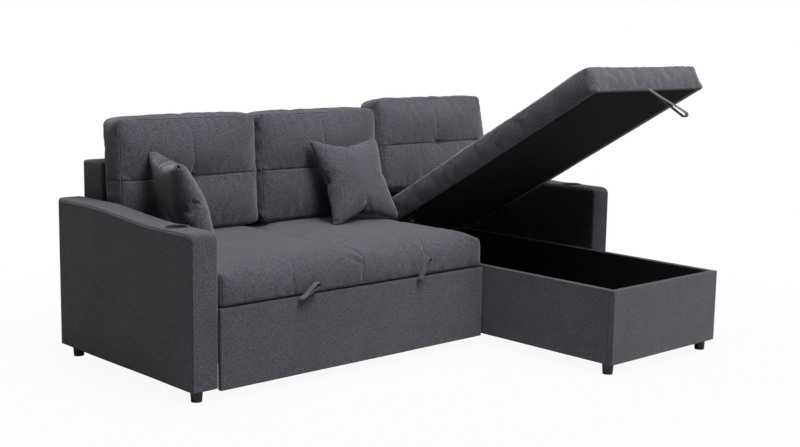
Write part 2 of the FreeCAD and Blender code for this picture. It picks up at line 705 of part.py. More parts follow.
def make_strut_brackets():
    lower = new_body("strut_box_brackets")
    upper = new_body("strut_lid_brackets")
    turn_about_hinge(upper)
    reach = "strut_inset + strut_eye_width / 2 + 2 * joint_gap"
    y = "strut_top_setback - hinge_y"
    under = "lid_underside - hinge_height"
    for plate, pin in (
        ("box_left + lining", "box_left + lining"),
        ("box_right - lining - leaf_thickness", f"box_right - ({reach})"),
    ):
        block(
            lower,
            (plate, "box_rear - lining - strut_bracket", "strut_base_height - strut_bracket / 2"),
            ("leaf_thickness", "strut_bracket", "strut_bracket"),
        )
        shaft(lower, (pin, "strut_base_setback", "strut_base_height"), "strut_pin_radius", f"{reach} - lining", "x")
    clear = "lining + joint_gap"
    for ear, pin in (
        (f"box_left + {clear}", f"box_left + {clear}"),
        (f"box_right - leaf_thickness - ({clear})", f"box_right - ({reach})"),
    ):
        block(
            upper,
            (ear, f"{y} - strut_bracket / 2", f"{under} - strut_top_drop - strut_top_eye_radius"),
            ("leaf_thickness", "strut_bracket", "strut_top_drop + strut_top_eye_radius"),
        )
        shaft(upper, (pin, y, f"{under} - strut_top_drop"), "strut_pin_radius", f"{reach} - ({clear})", "x")
    for start in (f"box_left + {clear}", f"box_right - ({reach})"):
        block(
            upper,
            (start, f"{y} - strut_bracket / 2", f"{under} - leaf_thickness"),
            (f"{reach} - ({clear})", "strut_bracket", "leaf_thickness"),
        )


# Lid frame and lining

def make_lid_frame():
    frame = new_body("lid_frame")
    turn_about_hinge(frame)
    x = "chaise_left + lid_edge_cover"
    y = "-chaise_reach + lid_edge_cover - hinge_y"
    z = "lid_underside + lid_board - hinge_height"
    wide = "chaise_width - 2 * lid_edge_cover"
    deep = "lid_length - 2 * lid_edge_cover"
    for offset in ("0", f"({deep} - lid_rail_width) / 2", f"{deep} - lid_rail_width"):
        block(frame, (x, f"{y} + {offset}", z), (wide, "lid_rail_width", "lid_rail_height"))
    for offset in ("0", f"{wide} - lid_rail_width"):
        block(frame, (f"{x} + {offset}", y, z), ("lid_rail_width", deep, "lid_rail_height"))

    lining = new_body("lid_lining")
    turn_about_hinge(lining)
    block(lining, (x, y, "lid_underside - hinge_height"), (wide, deep, "lid_board"))


# Pull-out bed

def make_bed():
    panel = new_body("bed_front_panel")
    block(
        panel,
        ("seat_left", "-bed_panel_reach", "bed_panel_clearance"),
        ("seat_width + 2 * joint_gap", "bed_panel_thickness", "bed_panel_top - bed_panel_clearance"),
    )

    frame = new_body("bed_frame")
    wide = "bed_right - bed_left"
    for y in ("bed_front", "bed_front + (bed_length - bed_rail) / 2", "bed_rear - bed_rail"):
        block(frame, ("bed_left", y, "bed_frame_base"), (wide, "bed_rail", "bed_rail_height"))
    for x in ("bed_left", "bed_right - bed_rail"):
        block(frame, (x, "bed_front", "bed_frame_base"), ("bed_rail", "bed_length", "bed_rail_height"))

    deck = new_body("bed_deck")
    block(deck, ("bed_left", "bed_front", "bed_deck_base"), (wide, "bed_length", "bed_deck"))

    bars = new_body("bed_slide_bars")
    thick = "runner_depth + side_play - runner_wall - runner_play"
    tall = "runner_height - 2 * runner_wall - 2 * runner_play"
    for x in (f"bed_left - ({thick})", "bed_right"):
        block(
            bars,
            (x, "runner_setback", "runner_base + runner_wall + runner_play"),
            (thick, "bed_rear - runner_setback", tall),
        )

    links = new_body("bed_lift_links")
    for x in ("bed_left + bed_rail + link_thickness", "bed_right - bed_rail - 2 * link_thickness"):
        for level in ("bed_frame_base + link_thickness", "bed_frame_base + 2 * link_thickness + link_height"):
            block(
                links,
                (x, "bed_front + bed_rail + link_room", level),
                ("link_thickness", "link_length", "link_height"),
            )


def make_casters():
    forks = new_body("caster_forks")
    half = "wheel_width / 2 + wheel_side_play"
    for side, x in (("left", "bed_left + wheel_inset"), ("right", "bed_right - wheel_inset")):
        y = "wheel_setback - fork_length / 2"
        block(
            forks,
            (f"{x} - ({half}) - fork_plate", y, "bed_frame_base - fork_plate"),
            (f"2 * ({half}) + 2 * fork_plate", "fork_length", "fork_plate"),
        )
        for start in (f"{x} - ({half}) - fork_plate", f"{x} + {half}"):
            block(
                forks,
                (start, y, "axle_height - 2 * axle_radius"),
                ("fork_plate", "fork_length", "bed_frame_base - axle_height + 2 * axle_radius"),
            )
        shaft(
            forks,
            (f"{x} - ({half}) - fork_plate", "wheel_setback", "axle_height"),
            "axle_radius",
            f"2 * ({half}) + 2 * fork_plate",
            "x",
        )
        wheel = new_body(f"{side}_caster_wheel")
        shaft(wheel, (f"{x} - wheel_width / 2", "wheel_setback", "axle_height"), "wheel_radius", "wheel_width", "x")
        shaft(
            wheel,
            (f"{x} - wheel_width / 2", "wheel_setback", "axle_height"),
            "axle_radius + pin_play",
            "wheel_width",
            "x",
            cut=True,
        )



# Soft forms

def soft_node(label, shape, placement):
    item = doc.addObject("Part::Feature", label)
    item.Label = label
    item.Shape = shape
    item.Placement = placement
    nodes.append(item)
    return item


def arc_edge(start, through, end):
    return Part.Arc(start, through, end).toShape()


def rounded_outline(left, right, front, rear, level, corner, pull):
    """A level outline with arcs at its corners and sides that draw in by pull at their middles."""
    reach = corner * (1 - cos(radians(45)))
    middle_x = (left + right) / 2
    middle_y = (front + rear) / 2
    spots = [
        (left + corner, front),
        (middle_x, front + pull),
        (right - corner, front),
        (right - reach, front + reach),
        (right, front + corner),
        (right - pull, middle_y),
        (right, rear - corner),
        (right - reach, rear - reach),
        (right - corner, rear),
        (middle_x, rear - pull),
        (left + corner, rear),
        (left + reach, rear - reach),
        (left, rear - corner),
        (left + pull, middle_y),
        (left, front + corner),
        (left + reach, front + reach),
    ]
    points = [Vector(x, y, level) for x, y in spots]
    points.append(points[0])
    edges = []
    for index in range(0, 16, 2):
        start, through, end = points[index:index + 3]
        straight = (through - start).cross(end - start).Length < 0.001
        edges.append(Part.makeLine(start, end) if straight else arc_edge(start, through, end))
    return Part.Wire(edges)


def layered_form(bounds, layers, corner):
    """Loft a padded block through level outlines, each a (level, inset, pull) layer."""
    left, right, front, rear = bounds
    wires = []
    for level, inset, pull in layers:
        wires.append(
            rounded_outline(left + inset, right - inset, front + inset, rear - inset, level, corner, pull)
        )
    return Part.makeLoft(wires, True, True)


def crown_layers(base, boxing, crown, pull):
    """The upper part of a padded block: the seam, and a crown that flattens towards its middle."""
    return [
        (base, 0, pull),
        (boxing - crown / 2, 1, pull),
        (boxing + crown * 0.1, crown * 0.25, pull),
        (boxing + crown * 0.6, crown * 1.1, pull),
        (boxing + crown * 0.88, crown * 3, pull),
        (boxing + crown, crown * 7, 0),
    ]


def dimple(x, y, level, radius, depth):
    """A sewn tuft pulls the surface down in a shallow cone."""
    return Part.makeCone(0, 2 * radius, 2 * depth, Vector(x, y, level - depth))


def padded_block(bounds, base, boxing, crown, corner, pull, split):
    """A cushion from its underside up, with two crowns that meet at a seam.

    split is ("x", place) for a seam from front to rear, or ("y", place) for one from side to side.
    """
    left, right, front, rear = bounds
    shoulder = base + boxing - 1.5 * crown
    body = layered_form(
        bounds,
        [(base, 5, pull), (base + 10, 0, pull), (shoulder, 0, pull)],
        corner,
    )
    axis, place = split
    if axis == "x":
        halves = [(left, place, front, rear), (place, right, front, rear)]
    else:
        halves = [(left, right, front, place), (left, right, place, rear)]
    for half in halves:
        body = body.fuse(layered_form(half, crown_layers(shoulder, base + boxing, crown, pull), corner))
    return body.removeSplitter()


def make_seat_cushion():
    left = size.seat_left
    right = size.seat_right
    front = -size.seat_overhang
    rear = size.back_front - size.joint_gap
    middle = (left + right) / 2
    shape = padded_block(
        (left, right, front, rear),
        size.seat_underside,
        size.seat_boxing,
        size.seat_crown,
        size.seat_corner,
        0,
        ("x", middle),
    )
    for x in ((left + middle) / 2, (middle + right) / 2):
        shape = shape.cut(dimple(x, (front + rear) / 2, size.seat_top, size.seat_tuft_radius, size.seat_tuft_depth))
    soft_node("seat_cushion", shape, home())


def home():
    return Placement(Vector(-size.overall_width / 2, -size.origin_setback, 0), Rotation())


def make_lid_cushion():
    front = -size.chaise_reach - size.hinge_y
    rear = size.lid_rear - size.hinge_y
    base = size.lid_underside - size.hinge_height
    seam = -size.lid_seam_reach - size.hinge_y
    shape = padded_block(
        (size.chaise_left, size.chaise_right + size.lid_overhang, front, rear),
        base,
        size.lid_boxing,
        size.lid_crown,
        size.lid_corner,
        0,
        ("y", seam),
    )
    cover = size.lid_edge_cover
    pocket = Part.makeBox(
        size.chaise_width - 2 * cover,
        size.lid_length - 2 * cover,
        size.lid_board + size.lid_rail_height,
        Vector(size.chaise_left + cover, front + cover, base),
    )
    shape = shape.cut(pocket)
    turned = Placement(
        Vector(-size.overall_width / 2, size.hinge_y - size.origin_setback, size.hinge_height),
        Rotation(Vector(1, 0, 0), -size.lid_open_angle),
    )
    soft_node("lid_cushion", shape, turned)


def back_cushion_form(width, height):
    """A back cushion that lies on its rear face: x across, y up its height, z through it to the front."""
    seam = height * (1 - size.cushion_seam_drop)
    form = padded_block(
        (0, width, 0, height),
        0,
        size.back_cushion_depth,
        size.back_cushion_bulge,
        size.back_cushion_corner,
        size.back_cushion_pull,
        ("y", seam),
    )
    front = size.back_cushion_depth + size.back_cushion_bulge
    level = front - size.back_tuft_sink
    form = form.cut(dimple(width / 2, seam, level, size.back_tuft_radius, size.back_tuft_depth))
    crease = size.back_crease
    wedge = Part.Face(
        Part.makePolygon(
            [
                Vector(width / 2 - crease, seam, front + 1),
                Vector(width / 2, seam, front - crease),
                Vector(width / 2 + crease, seam, front + 1),
                Vector(width / 2 - crease, seam, front + 1),
            ]
        )
    )
    return form.cut(wedge.extrude(Vector(0, height - seam, 0)))


def cushion_stand(x):
    """Stand a lying back cushion up at its place, leaning against the back."""
    upright = Rotation(Vector(1, 0, 0), 90 - size.back_cushion_angle)
    lean = radians(size.back_cushion_angle)
    rear_y = size.back_cushion_setback + size.back_cushion_depth * cos(lean)
    rear_z = size.back_cushion_base + size.back_cushion_depth * sin(lean)
    return Placement(Vector(x, rear_y, rear_z), upright)


def make_back_cushions():
    left = size.seat_left
    middle = left + size.back_cushion_width + size.cushion_gap
    for label, x in (("left_back_cushion", left), ("middle_back_cushion", middle)):
        placement = home().multiply(cushion_stand(x))
        soft_node(label, back_cushion_form(size.back_cushion_width, size.back_cushion_height), placement)
    stand = cushion_stand(size.right_cushion_left)
    shape = back_cushion_form(size.right_cushion_width, size.right_cushion_height)
    turn = radians(size.raised_angle)
    rest = 1 - cos(turn)
    reach = (rest * size.raised_shift - sin(turn) * size.raised_lift) / (2 * rest)
    rise = (-sin(turn) * size.raised_shift - rest * size.raised_lift) / (2 * rest)
    centre = Vector(0, size.back_cushion_setback - reach, size.back_cushion_base - rise)
    raised = Placement(centre, Rotation(Vector(1, 0, 0), -size.raised_angle))
    lowered = Placement(centre, Rotation())
    placement = home().multiply(raised).multiply(lowered.inverse()).multiply(stand)
    soft_node("right_back_cushion", shape, placement)
    print("right back cushion turns about y", round(centre.y - size.origin_setback, 3), "z", round(centre.z, 3))


def pillow_outline(corner, side, level):
    """Four arcs between pointed corners; side is the half width at the middle of a side."""
    spots = [(-corner, -corner), (0, -side), (corner, -corner), (side, 0)]
    spots += [(corner, corner), (0, side), (-corner, corner), (-side, 0), (-corner, -corner)]
    points = [Vector(x, y, level) for x, y in spots]
    return Part.Wire([arc_edge(*points[i:i + 3]) for i in range(0, 8, 2)])


def pillow_form(across):
    """A throw pillow in the plane of x and y, with its thickness along z."""
    half = across / 2
    thick = size.pillow_thickness / 2
    shares = [(0, 1, 0.93), (0.3, 0.86, 0.89), (0.6, 0.70, 0.79), (0.85, 0.46, 0.58), (1, 0.2, 0.27)]
    levels = [(-level, corner, side) for level, corner, side in reversed(shares[1:])] + shares
    wires = [pillow_outline(half * corner, half * side, thick * level) for level, corner, side in levels]
    return Part.makeLoft(wires, True, True)


def make_throw_pillows():
    upright = Placement(Vector(0, 0, 0), Rotation(Vector(1, 0, 0), 90))

    def stand(x, y, across, turn, tilt, roll):
        height = size.seat_top + size.pillow_lift + across / 2 * cos(radians(tilt))
        turned = Rotation(Vector(0, 0, 1), -turn)
        tilted = Rotation(Vector(1, 0, 0), tilt)
        rolled = Rotation(Vector(0, 1, 0), roll)
        place = Placement(Vector(x, y, height), turned.multiply(tilted).multiply(rolled))
        return home().multiply(place).multiply(upright)

    middle = stand(
        size.seat_right - size.middle_pillow_inset,
        size.back_cushion_setback - size.middle_pillow_reach,
        size.pillow_size,
        0,
        -size.middle_pillow_angle,
        0,
    )
    soft_node("middle_throw_pillow", pillow_form(size.pillow_size), middle)
    side = stand(
        size.seat_left + size.side_pillow_inset,
        size.back_cushion_setback - size.side_pillow_reach,
        size.side_pillow_size,
        size.side_pillow_turn_angle,
        size.side_pillow_lean_angle,
        size.side_pillow_roll_angle,
    )
    soft_node("left_throw_pillow", pillow_form(size.side_pillow_size), side)


def make_mattress():
    inset = size.mattress_inset
    base = size.mattress_base
    top = size.mattress_top
    layers = [(base, 4, 0), (base + 8, 0, 0), (top - 10, 0, 0), (top - 3, 5, 2), (top, 16, 4)]
    shape = layered_form(
        (size.bed_left + inset, size.bed_right - inset, size.bed_front + 1, size.bed_rear - inset),
        layers,
        18,
    )
    soft_node("bed_mattress", shape, home())


def loop_outline(half, foot, tip):
    """Edges of a drop-shaped outline from its foot to its rounded tip, half being its half width."""
    shoulder = tip - half * 0.9
    left = Vector(-half, 0, shoulder)
    right = Vector(half, 0, shoulder)
    top = arc_edge(left, Vector(0, 0, tip), right)
    return [Part.makeLine(foot[0], left), top, Part.makeLine(right, foot[1])]


def loop_form(length, opening, sewn):
    """A folded pull loop that stands along z, its webbing edge on, its width along y."""
    thick = size.webbing
    feet = (Vector(-thick, 0, 0), Vector(thick, 0, 0))
    knot = Vector(0, 0, sewn)
    outer = loop_outline(opening / 2 + thick, feet, length)
    outer.append(Part.makeLine(feet[1], feet[0]))
    inner = loop_outline(opening / 2, (knot, knot), length - thick)
    loop = Part.Face(Part.Wire(outer)).cut(Part.Face(Part.Wire(inner)))
    return loop.extrude(Vector(0, size.webbing_width, 0))


def make_straps():
    loop = loop_form(size.strap_length, size.strap_opening, size.strap_sewn)
    down = Rotation(Vector(1, 0, 0), 90 + size.strap_angle)
    flat = Rotation(Vector(0, 0, 1), 90)
    root = Vector(
        size.chaise_left + size.strap_side + size.webbing_width,
        -size.chaise_reach - size.hinge_y,
        size.lid_underside - size.hinge_height + size.lid_board,
    )
    lid = Placement(
        Vector(-size.overall_width / 2, size.hinge_y - size.origin_setback, size.hinge_height),
        Rotation(Vector(1, 0, 0), -size.lid_open_angle),
    )
    soft_node("lid_pull_strap", loop, lid.multiply(Placement(root, down.multiply(flat))))

    front = -size.bed_panel_reach - size.bed_strap_stand_off - size.webbing_width
    for label, offset, lean in (
        ("left_bed_strap", size.bed_strap_first, size.bed_strap_first_angle),
        ("right_bed_strap", size.bed_strap_second, size.bed_strap_second_angle),
    ):
        loop = loop_form(size.bed_strap_length, size.bed_strap_opening, size.bed_strap_sewn)
        loop.rotate(Vector(0, 0, 0), Vector(0, 1, 0), lean)
        tab = Part.makeBox(
            4 * size.webbing,
            size.webbing_width + size.bed_strap_stand_off,
            2 * size.webbing,
            Vector(-2 * size.webbing, 0, -size.webbing),
        )
        place = Vector(size.seat_left + offset, front, size.bed_panel_top - 3 * size.webbing)
        soft_node(label, loop.fuse(tab).removeSplitter(), home().multiply(Placement(place, Rotation())))


def check_and_write():
    doc.recompute()
    for item in doc.Objects:
        if "Invalid" in item.State or "Error" in item.State:
            raise RuntimeError(f"{item.Label} did not rebuild")
    os.makedirs("parts", exist_ok=True)
    for item in nodes:
        if item.Shape.isNull() or not item.Shape.isValid():
            raise RuntimeError(f"{item.Label} has no valid shape")
    for item in nodes:
        item.Shape.exportStep(f"parts/{item.Label}.step")
    print(len(nodes), "nodes written")


fill_sheet()
make_arm_cover("left_arm_cover", "0")
make_arm_cover("right_arm_cover", "right_arm_face")
make_arm_frame("left_arm_frame", "0")
make_arm_frame("right_arm_frame", "right_arm_face")
make_cup("left_cup_holder", "0")
make_cup("right_cup_holder", "right_arm_face")
make_back_cover()
make_back_frame()
make_feet()
make_seat_base()
make_runners()
make_chaise_box()
make_hinges()
make_strut("left", "strut_left")
make_strut("right", "strut_right")
make_strut_brackets()
make_lid_frame()
make_bed()
make_casters()
make_seat_cushion()
make_lid_cushion()
make_back_cushions()
make_throw_pillows()
make_mattress()
make_straps()
check_and_write()
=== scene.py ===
import json
import math

import bpy
import numpy as np
from mathutils import Matrix, Vector, noise

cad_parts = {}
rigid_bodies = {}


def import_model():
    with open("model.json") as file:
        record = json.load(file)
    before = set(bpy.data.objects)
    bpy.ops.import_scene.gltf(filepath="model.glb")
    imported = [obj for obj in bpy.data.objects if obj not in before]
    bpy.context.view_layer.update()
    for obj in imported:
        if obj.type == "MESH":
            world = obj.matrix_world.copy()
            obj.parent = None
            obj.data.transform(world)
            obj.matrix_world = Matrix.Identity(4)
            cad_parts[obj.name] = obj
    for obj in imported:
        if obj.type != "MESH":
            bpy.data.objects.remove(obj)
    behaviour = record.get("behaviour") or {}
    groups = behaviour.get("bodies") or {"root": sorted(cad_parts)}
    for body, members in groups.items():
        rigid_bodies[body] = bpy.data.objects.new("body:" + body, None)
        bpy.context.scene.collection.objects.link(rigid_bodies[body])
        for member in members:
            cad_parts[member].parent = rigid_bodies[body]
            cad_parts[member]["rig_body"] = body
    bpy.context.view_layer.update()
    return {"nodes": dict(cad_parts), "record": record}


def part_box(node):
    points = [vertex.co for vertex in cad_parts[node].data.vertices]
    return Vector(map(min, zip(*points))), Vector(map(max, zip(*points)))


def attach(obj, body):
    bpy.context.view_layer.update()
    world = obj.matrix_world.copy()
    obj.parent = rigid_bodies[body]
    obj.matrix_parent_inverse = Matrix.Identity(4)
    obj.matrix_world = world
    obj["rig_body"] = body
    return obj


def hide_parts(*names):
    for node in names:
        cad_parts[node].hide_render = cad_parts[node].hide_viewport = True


bl_info = {
    "name": "Storage Sofa",
    "version": (1, 0, 0),
    "blender": (4, 5, 0),
    "location": "View3D > Sidebar > Sofa",
    "description": "Upholsters the frame of a corner sofa with a pull-out bed and a lift-up chaise seat",
    "category": "Object",
}

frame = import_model()
NODES = frame["nodes"]
NODE_SLOTS = {part["node"]: part["material_slot"] for part in frame["record"]["subparts"]}
MM = 0.001

# How the pieces lean, in degrees: the back cushions, how much farther the one that the lid pushes up,
# the open lid, its pull loop below level, and the throw pillows.
CUSHION_LEAN = 4.1
RAISED_LEAN = 9.0
LID_LIFT = 29.8
LID_LOOP_DROP = 27.5
MIDDLE_PILLOW_LEAN = 25.6
SIDE_PILLOW_TURN = 107.5
SIDE_PILLOW_LEAN = 22.5
SIDE_PILLOW_ROLL = 2.0
# The height of a back cushion's cross seam, as a share of the cushion's.
CROSS_SEAM_SHARE = 0.47
# Where the lid turns, the arms' front plane, and the way from that plane to the lid's cross seam.
HINGE_Y = 623.5 * MM
HINGE_Z = 432 * MM
ARM_FRONT_Y = -82.5 * MM
LID_SEAM_SETBACK = -30 * MM
# An arm from its front: the rounding of its nose, the flat that holds the cup and the slope behind it.
ARM_NOSE = 26 * MM
ARM_FLAT = 205 * MM
ARM_RISE = 450 * MM
CUP_SIDES = 96
# A point this near a face lies on it, and one this near a seam is held by it while a cover is filled.
ON_FACE = 0.1 * MM
ON_SEAM = 0.3 * MM
# The distance kept for points that no seam is near, in metres.
NO_SEAM = 1.0
# How hard the filling presses out, and a pillow's panels: how much the grid crowds to their rims, how
# far the sides draw in between the corners, and how soon they are full.
CUSHION_PRESSURE = 4.0
PILLOW_PRESSURE = 9.0
PILLOW_CROWDING = 0.92
PILLOW_DRAW = 0.07
PILLOW_FULLNESS = 0.42
# The length of the pull loops' solids.
LID_LOOP = 190 * MM
BED_LOOP = 92 * MM


# Sizes and colours that can be changed


class SofaSizes(bpy.types.PropertyGroup):
    cover_step: bpy.props.FloatProperty(
        name="Cover spacing", default=11 * MM, unit="LENGTH",
        description="Distance between a large cover's grid lines",
    )
    seat_step: bpy.props.FloatProperty(
        name="Seat spacing", default=15 * MM, unit="LENGTH",
        description="Distance between a seat cushion's grid lines",
    )
    pillow_step: bpy.props.FloatProperty(
        name="Pillow spacing", default=6 * MM, unit="LENGTH",
        description="Distance between a throw pillow's grid lines",
    )
    seam_depth: bpy.props.FloatProperty(
        name="Seam depth", default=4.5 * MM, unit="LENGTH",
        description="How far a sewn seam sinks into a cushion",
    )
    seam_width: bpy.props.FloatProperty(
        name="Seam width", default=3.2 * MM, unit="LENGTH",
        description="Half width of the groove along a seam",
    )
    pucker: bpy.props.FloatProperty(
        name="Pucker", default=2.2 * MM, unit="LENGTH",
        description="Height of the small gathers beside a seam",
    )
    tuft_depth: bpy.props.FloatProperty(
        name="Tuft depth", default=9 * MM, unit="LENGTH",
        description="How far a sewn tuft pulls the cover in",
    )
    panel_round: bpy.props.FloatProperty(
        name="Panel rounding", default=2.5 * MM, unit="LENGTH",
        description="Rounding of the upholstered panels' edges",
    )
    crown: bpy.props.FloatProperty(
        name="Crown", default=15 * MM, unit="LENGTH",
        description="Rise of a cushion's middle over its sewn edges",
    )
    filling_cap: bpy.props.FloatProperty(
        name="Filling cap", default=24 * MM, unit="LENGTH",
        description="Farthest that the filling moves a cushion's cover",
    )
    spare_cloth: bpy.props.FloatProperty(
        name="Spare cloth", default=0.035,
        description="Share by which a cover is cut larger than its filling",
    )


class SofaColours(bpy.types.PropertyGroup):
    cloth: bpy.props.FloatVectorProperty(
        name="Cloth", default=(0.061, 0.060, 0.075), subtype="COLOR",
        description="Charcoal of the heathered weave",
    )
    cloth_thread: bpy.props.FloatVectorProperty(
        name="Pale thread", default=(0.115, 0.115, 0.130), subtype="COLOR",
        description="Paler thread in the weave",
    )
    cloth_shade: bpy.props.FloatVectorProperty(
        name="Dark thread", default=(0.026, 0.026, 0.031), subtype="COLOR",
        description="Darker thread in the weave",
    )
    lining: bpy.props.FloatVectorProperty(
        name="Lining", default=(0.0045, 0.0045, 0.005), subtype="COLOR",
        description="Black lining of the storage box",
    )
    webbing: bpy.props.FloatVectorProperty(
        name="Webbing", default=(0.085, 0.085, 0.09), subtype="COLOR",
        description="Grey webbing of the pull loops",
    )
    floor: bpy.props.FloatVectorProperty(
        name="Floor", default=(0.42, 0.42, 0.42), subtype="COLOR",
        description="Pale studio floor",
    )


def sizes():
    return bpy.context.scene.sofa_sizes


def colours():
    return bpy.context.scene.sofa_colours


# Node groups shared by the finishes


def new_group(name, inputs, outputs):
    """An empty shader group with float or colour sockets; a default of three numbers makes a colour."""
    group = bpy.data.node_groups.new(name, "ShaderNodeTree")
    for label, default in inputs:
        kind = "NodeSocketColor" if isinstance(default, tuple) else "NodeSocketFloat"
        socket = group.interface.new_socket(label, in_out="INPUT", socket_type=kind)
        socket.default_value = (*default, 1) if isinstance(default, tuple) else default
    for label, kind in outputs:
        group.interface.new_socket(label, in_out="OUTPUT", socket_type=kind)
    return group


class Bench:
    """Puts nodes on a tree and joins them in one call each."""

    def __init__(self, tree):
        self.tree = tree

    def node(self, kind, settings=None, **sockets):
        item = self.tree.nodes.new(kind)
        for name, value in (settings or {}).items():
            setattr(item, name, value)
        return self.feed_named(item, **sockets)

    def feed(self, socket, value):
        if isinstance(value, bpy.types.NodeSocket):
            self.tree.links.new(value, socket)
        elif isinstance(value, tuple) and socket.type == "RGBA":
            socket.default_value = (*value, 1)
        else:
            socket.default_value = value

    def feed_named(self, item, **sockets):
        for name, value in sockets.items():
            self.feed(item.inputs[name.replace("_", " ")], value)
        return item

    def first_of(self, item, *values):
        """A node's first output, once values are fed to its first inputs in order."""
        for socket, value in zip(item.inputs, values):
            self.feed(socket, value)
        return item.outputs[0]

    def math(self, operation, first, second=0.0):
        return self.first_of(self.node("ShaderNodeMath", {"operation": operation}), first, second)

    def times(self, first, second):
        return self.math("MULTIPLY", first, second)

    def plus(self, first, second):
        return self.math("ADD", first, second)

    def ramp(self, value, low, high):
        """Value between low and high, stretched to the range from 0 to 1."""
        return self.first_of(self.node("ShaderNodeMapRange", {"clamp": True}), value, low, high, 0.0, 1.0)

    def stretched(self, vector, scale):
        return self.first_of(self.node("ShaderNodeVectorMath", {"operation": "MULTIPLY"}), vector, scale)

    def mix_shaders(self, share, first, second):
        return self.first_of(self.node("ShaderNodeMixShader"), share, first, second)

    def noise(self, vector, scale, detail=2.0):
        item = self.node("ShaderNodeTexNoise", Vector=vector, Scale=scale, Detail=detail)
        return item.outputs["Fac"]

    def blend(self, share, first, second):
        item = self.node("ShaderNodeMix", {"data_type": "RGBA"})
        self.feed(item.inputs["Factor"], share)
        self.feed(item.inputs[6], first)
        self.feed(item.inputs[7], second)
        return item.outputs[2]


def weave_group():
    """Plain weave of uneven threads: a colour, a height for the bump and a roughness."""
    group = new_group(
        "Heathered weave",
        [
            ("Cloth", (0.08, 0.08, 0.1)), ("Pale", (0.12, 0.12, 0.15)), ("Dark", (0.04, 0.04, 0.05)),
            ("Thread", 1.1), ("Mottle", 0.5),
        ],
        [("Color", "NodeSocketColor"), ("Height", "NodeSocketFloat"), ("Roughness", "NodeSocketFloat")],
    )
    bench = Bench(group)
    given = bench.node("NodeGroupInput").outputs
    place = bench.node("ShaderNodeTexCoord")
    point = place.outputs["Object"]
    split = bench.node("ShaderNodeSeparateXYZ", Vector=point).outputs
    facing = bench.node("ShaderNodeSeparateXYZ", Vector=place.outputs["Normal"]).outputs
    pitch = bench.math("DIVIDE", 2 * math.pi / MM, given["Thread"])
    waves = [bench.math("SINE", bench.times(axis, pitch)) for axis in split]
    total = None
    for index in range(3):
        pair = bench.times(waves[(index + 1) % 3], waves[(index + 2) % 3])
        share = bench.times(pair, bench.math("ABSOLUTE", facing[index]))
        total = share if total is None else bench.plus(total, share)
    upright = bench.noise(bench.stretched(point, (520, 520, 85)), 1.0, 1.0)
    across = bench.noise(bench.stretched(point, (85, 520, 420)), 1.0, 1.0)
    fleck = bench.noise(bench.stretched(point, (190, 190, 190)), 1.0, 2.0)
    broad = bench.noise(bench.stretched(point, (7, 7, 7)), 1.0, 3.0)
    threads = bench.plus(bench.times(upright, 0.45), bench.times(across, 0.3))
    threads = bench.plus(threads, bench.times(fleck, 0.9))
    pale = bench.times(bench.ramp(threads, 0.84, 1.04), given["Mottle"])
    dark = bench.times(bench.ramp(threads, 0.82, 0.62), given["Mottle"])
    colour = bench.blend(pale, given["Cloth"], given["Pale"])
    colour = bench.blend(dark, colour, given["Dark"])
    shade = bench.times(bench.ramp(broad, 0.62, 0.36), 0.22)
    colour = bench.blend(shade, colour, given["Dark"])
    height = bench.plus(bench.times(total, 0.35), bench.times(threads, 0.9))
    rough = bench.plus(0.86, bench.times(fleck, 0.12))
    bench.node("NodeGroupOutput", Color=colour, Height=height, Roughness=rough)
    return group


def stitch_group():
    """Painted shade in a seam's groove, and stitches on each side of it, from the distances kept on the
    mesh.
    """
    group = new_group(
        "Sewn seam",
        [("Color", (0.08, 0.08, 0.1)), ("Height", 0.5), ("Stitch", (0.1, 0.1, 0.12))],
        [("Color", "NodeSocketColor"), ("Height", "NodeSocketFloat")],
    )
    bench = Bench(group)
    given = bench.node("NodeGroupInput").outputs
    off = bench.node("ShaderNodeAttribute", {"attribute_name": "seam_off"}).outputs["Fac"]
    run = bench.node("ShaderNodeAttribute", {"attribute_name": "seam_run"}).outputs["Fac"]
    # Painted shade: the colour darkens to near black towards the seam line, where the groove lies in shadow.
    depth = bench.ramp(off, 3.4 * MM, 0.4 * MM)
    colour = bench.blend(bench.times(depth, 0.7), given["Color"], (0.012, 0.012, 0.015))
    row = bench.ramp(bench.math("ABSOLUTE", bench.math("SUBTRACT", off, 5.2 * MM)), 0.9 * MM, 0.4 * MM)
    dash = bench.math("GREATER_THAN", bench.math("FRACT", bench.times(run, 1 / (4.5 * MM))), 0.3)
    stitch = bench.times(row, dash)
    colour = bench.blend(bench.times(stitch, 0.5), colour, given["Stitch"])
    height = bench.plus(given["Height"], bench.times(stitch, 1.2))
    bench.node("NodeGroupOutput", Color=colour, Height=height)
    return group


def wear_group():
    """Fine scuffs and dust for the hard pieces: a colour, a roughness and a height."""
    group = new_group(
        "Scuffed surface",
        [("Color", (0.5, 0.5, 0.5)), ("Worn", (0.6, 0.6, 0.6)), ("Roughness", 0.5), ("Grain", 300.0)],
        [("Color", "NodeSocketColor"), ("Roughness", "NodeSocketFloat"), ("Height", "NodeSocketFloat")],
    )
    bench = Bench(group)
    given = bench.node("NodeGroupInput").outputs
    point = bench.node("ShaderNodeTexCoord").outputs["Object"]
    edge = bench.ramp(bench.node("ShaderNodeNewGeometry").outputs["Pointiness"], 0.52, 0.62)
    patches = bench.noise(point, 14.0, 5.0)
    grain = bench.noise(point, given["Grain"], 2.0)
    worn = bench.times(bench.math("MAXIMUM", edge, bench.ramp(patches, 0.55, 0.8)), 0.55)
    colour = bench.blend(worn, given["Color"], given["Worn"])
    spread = bench.times(bench.math("SUBTRACT", patches, 0.5), 0.35)
    rough = bench.plus(given["Roughness"], spread)
    bench.node("NodeGroupOutput", Color=colour, Roughness=rough, Height=grain)
    return group


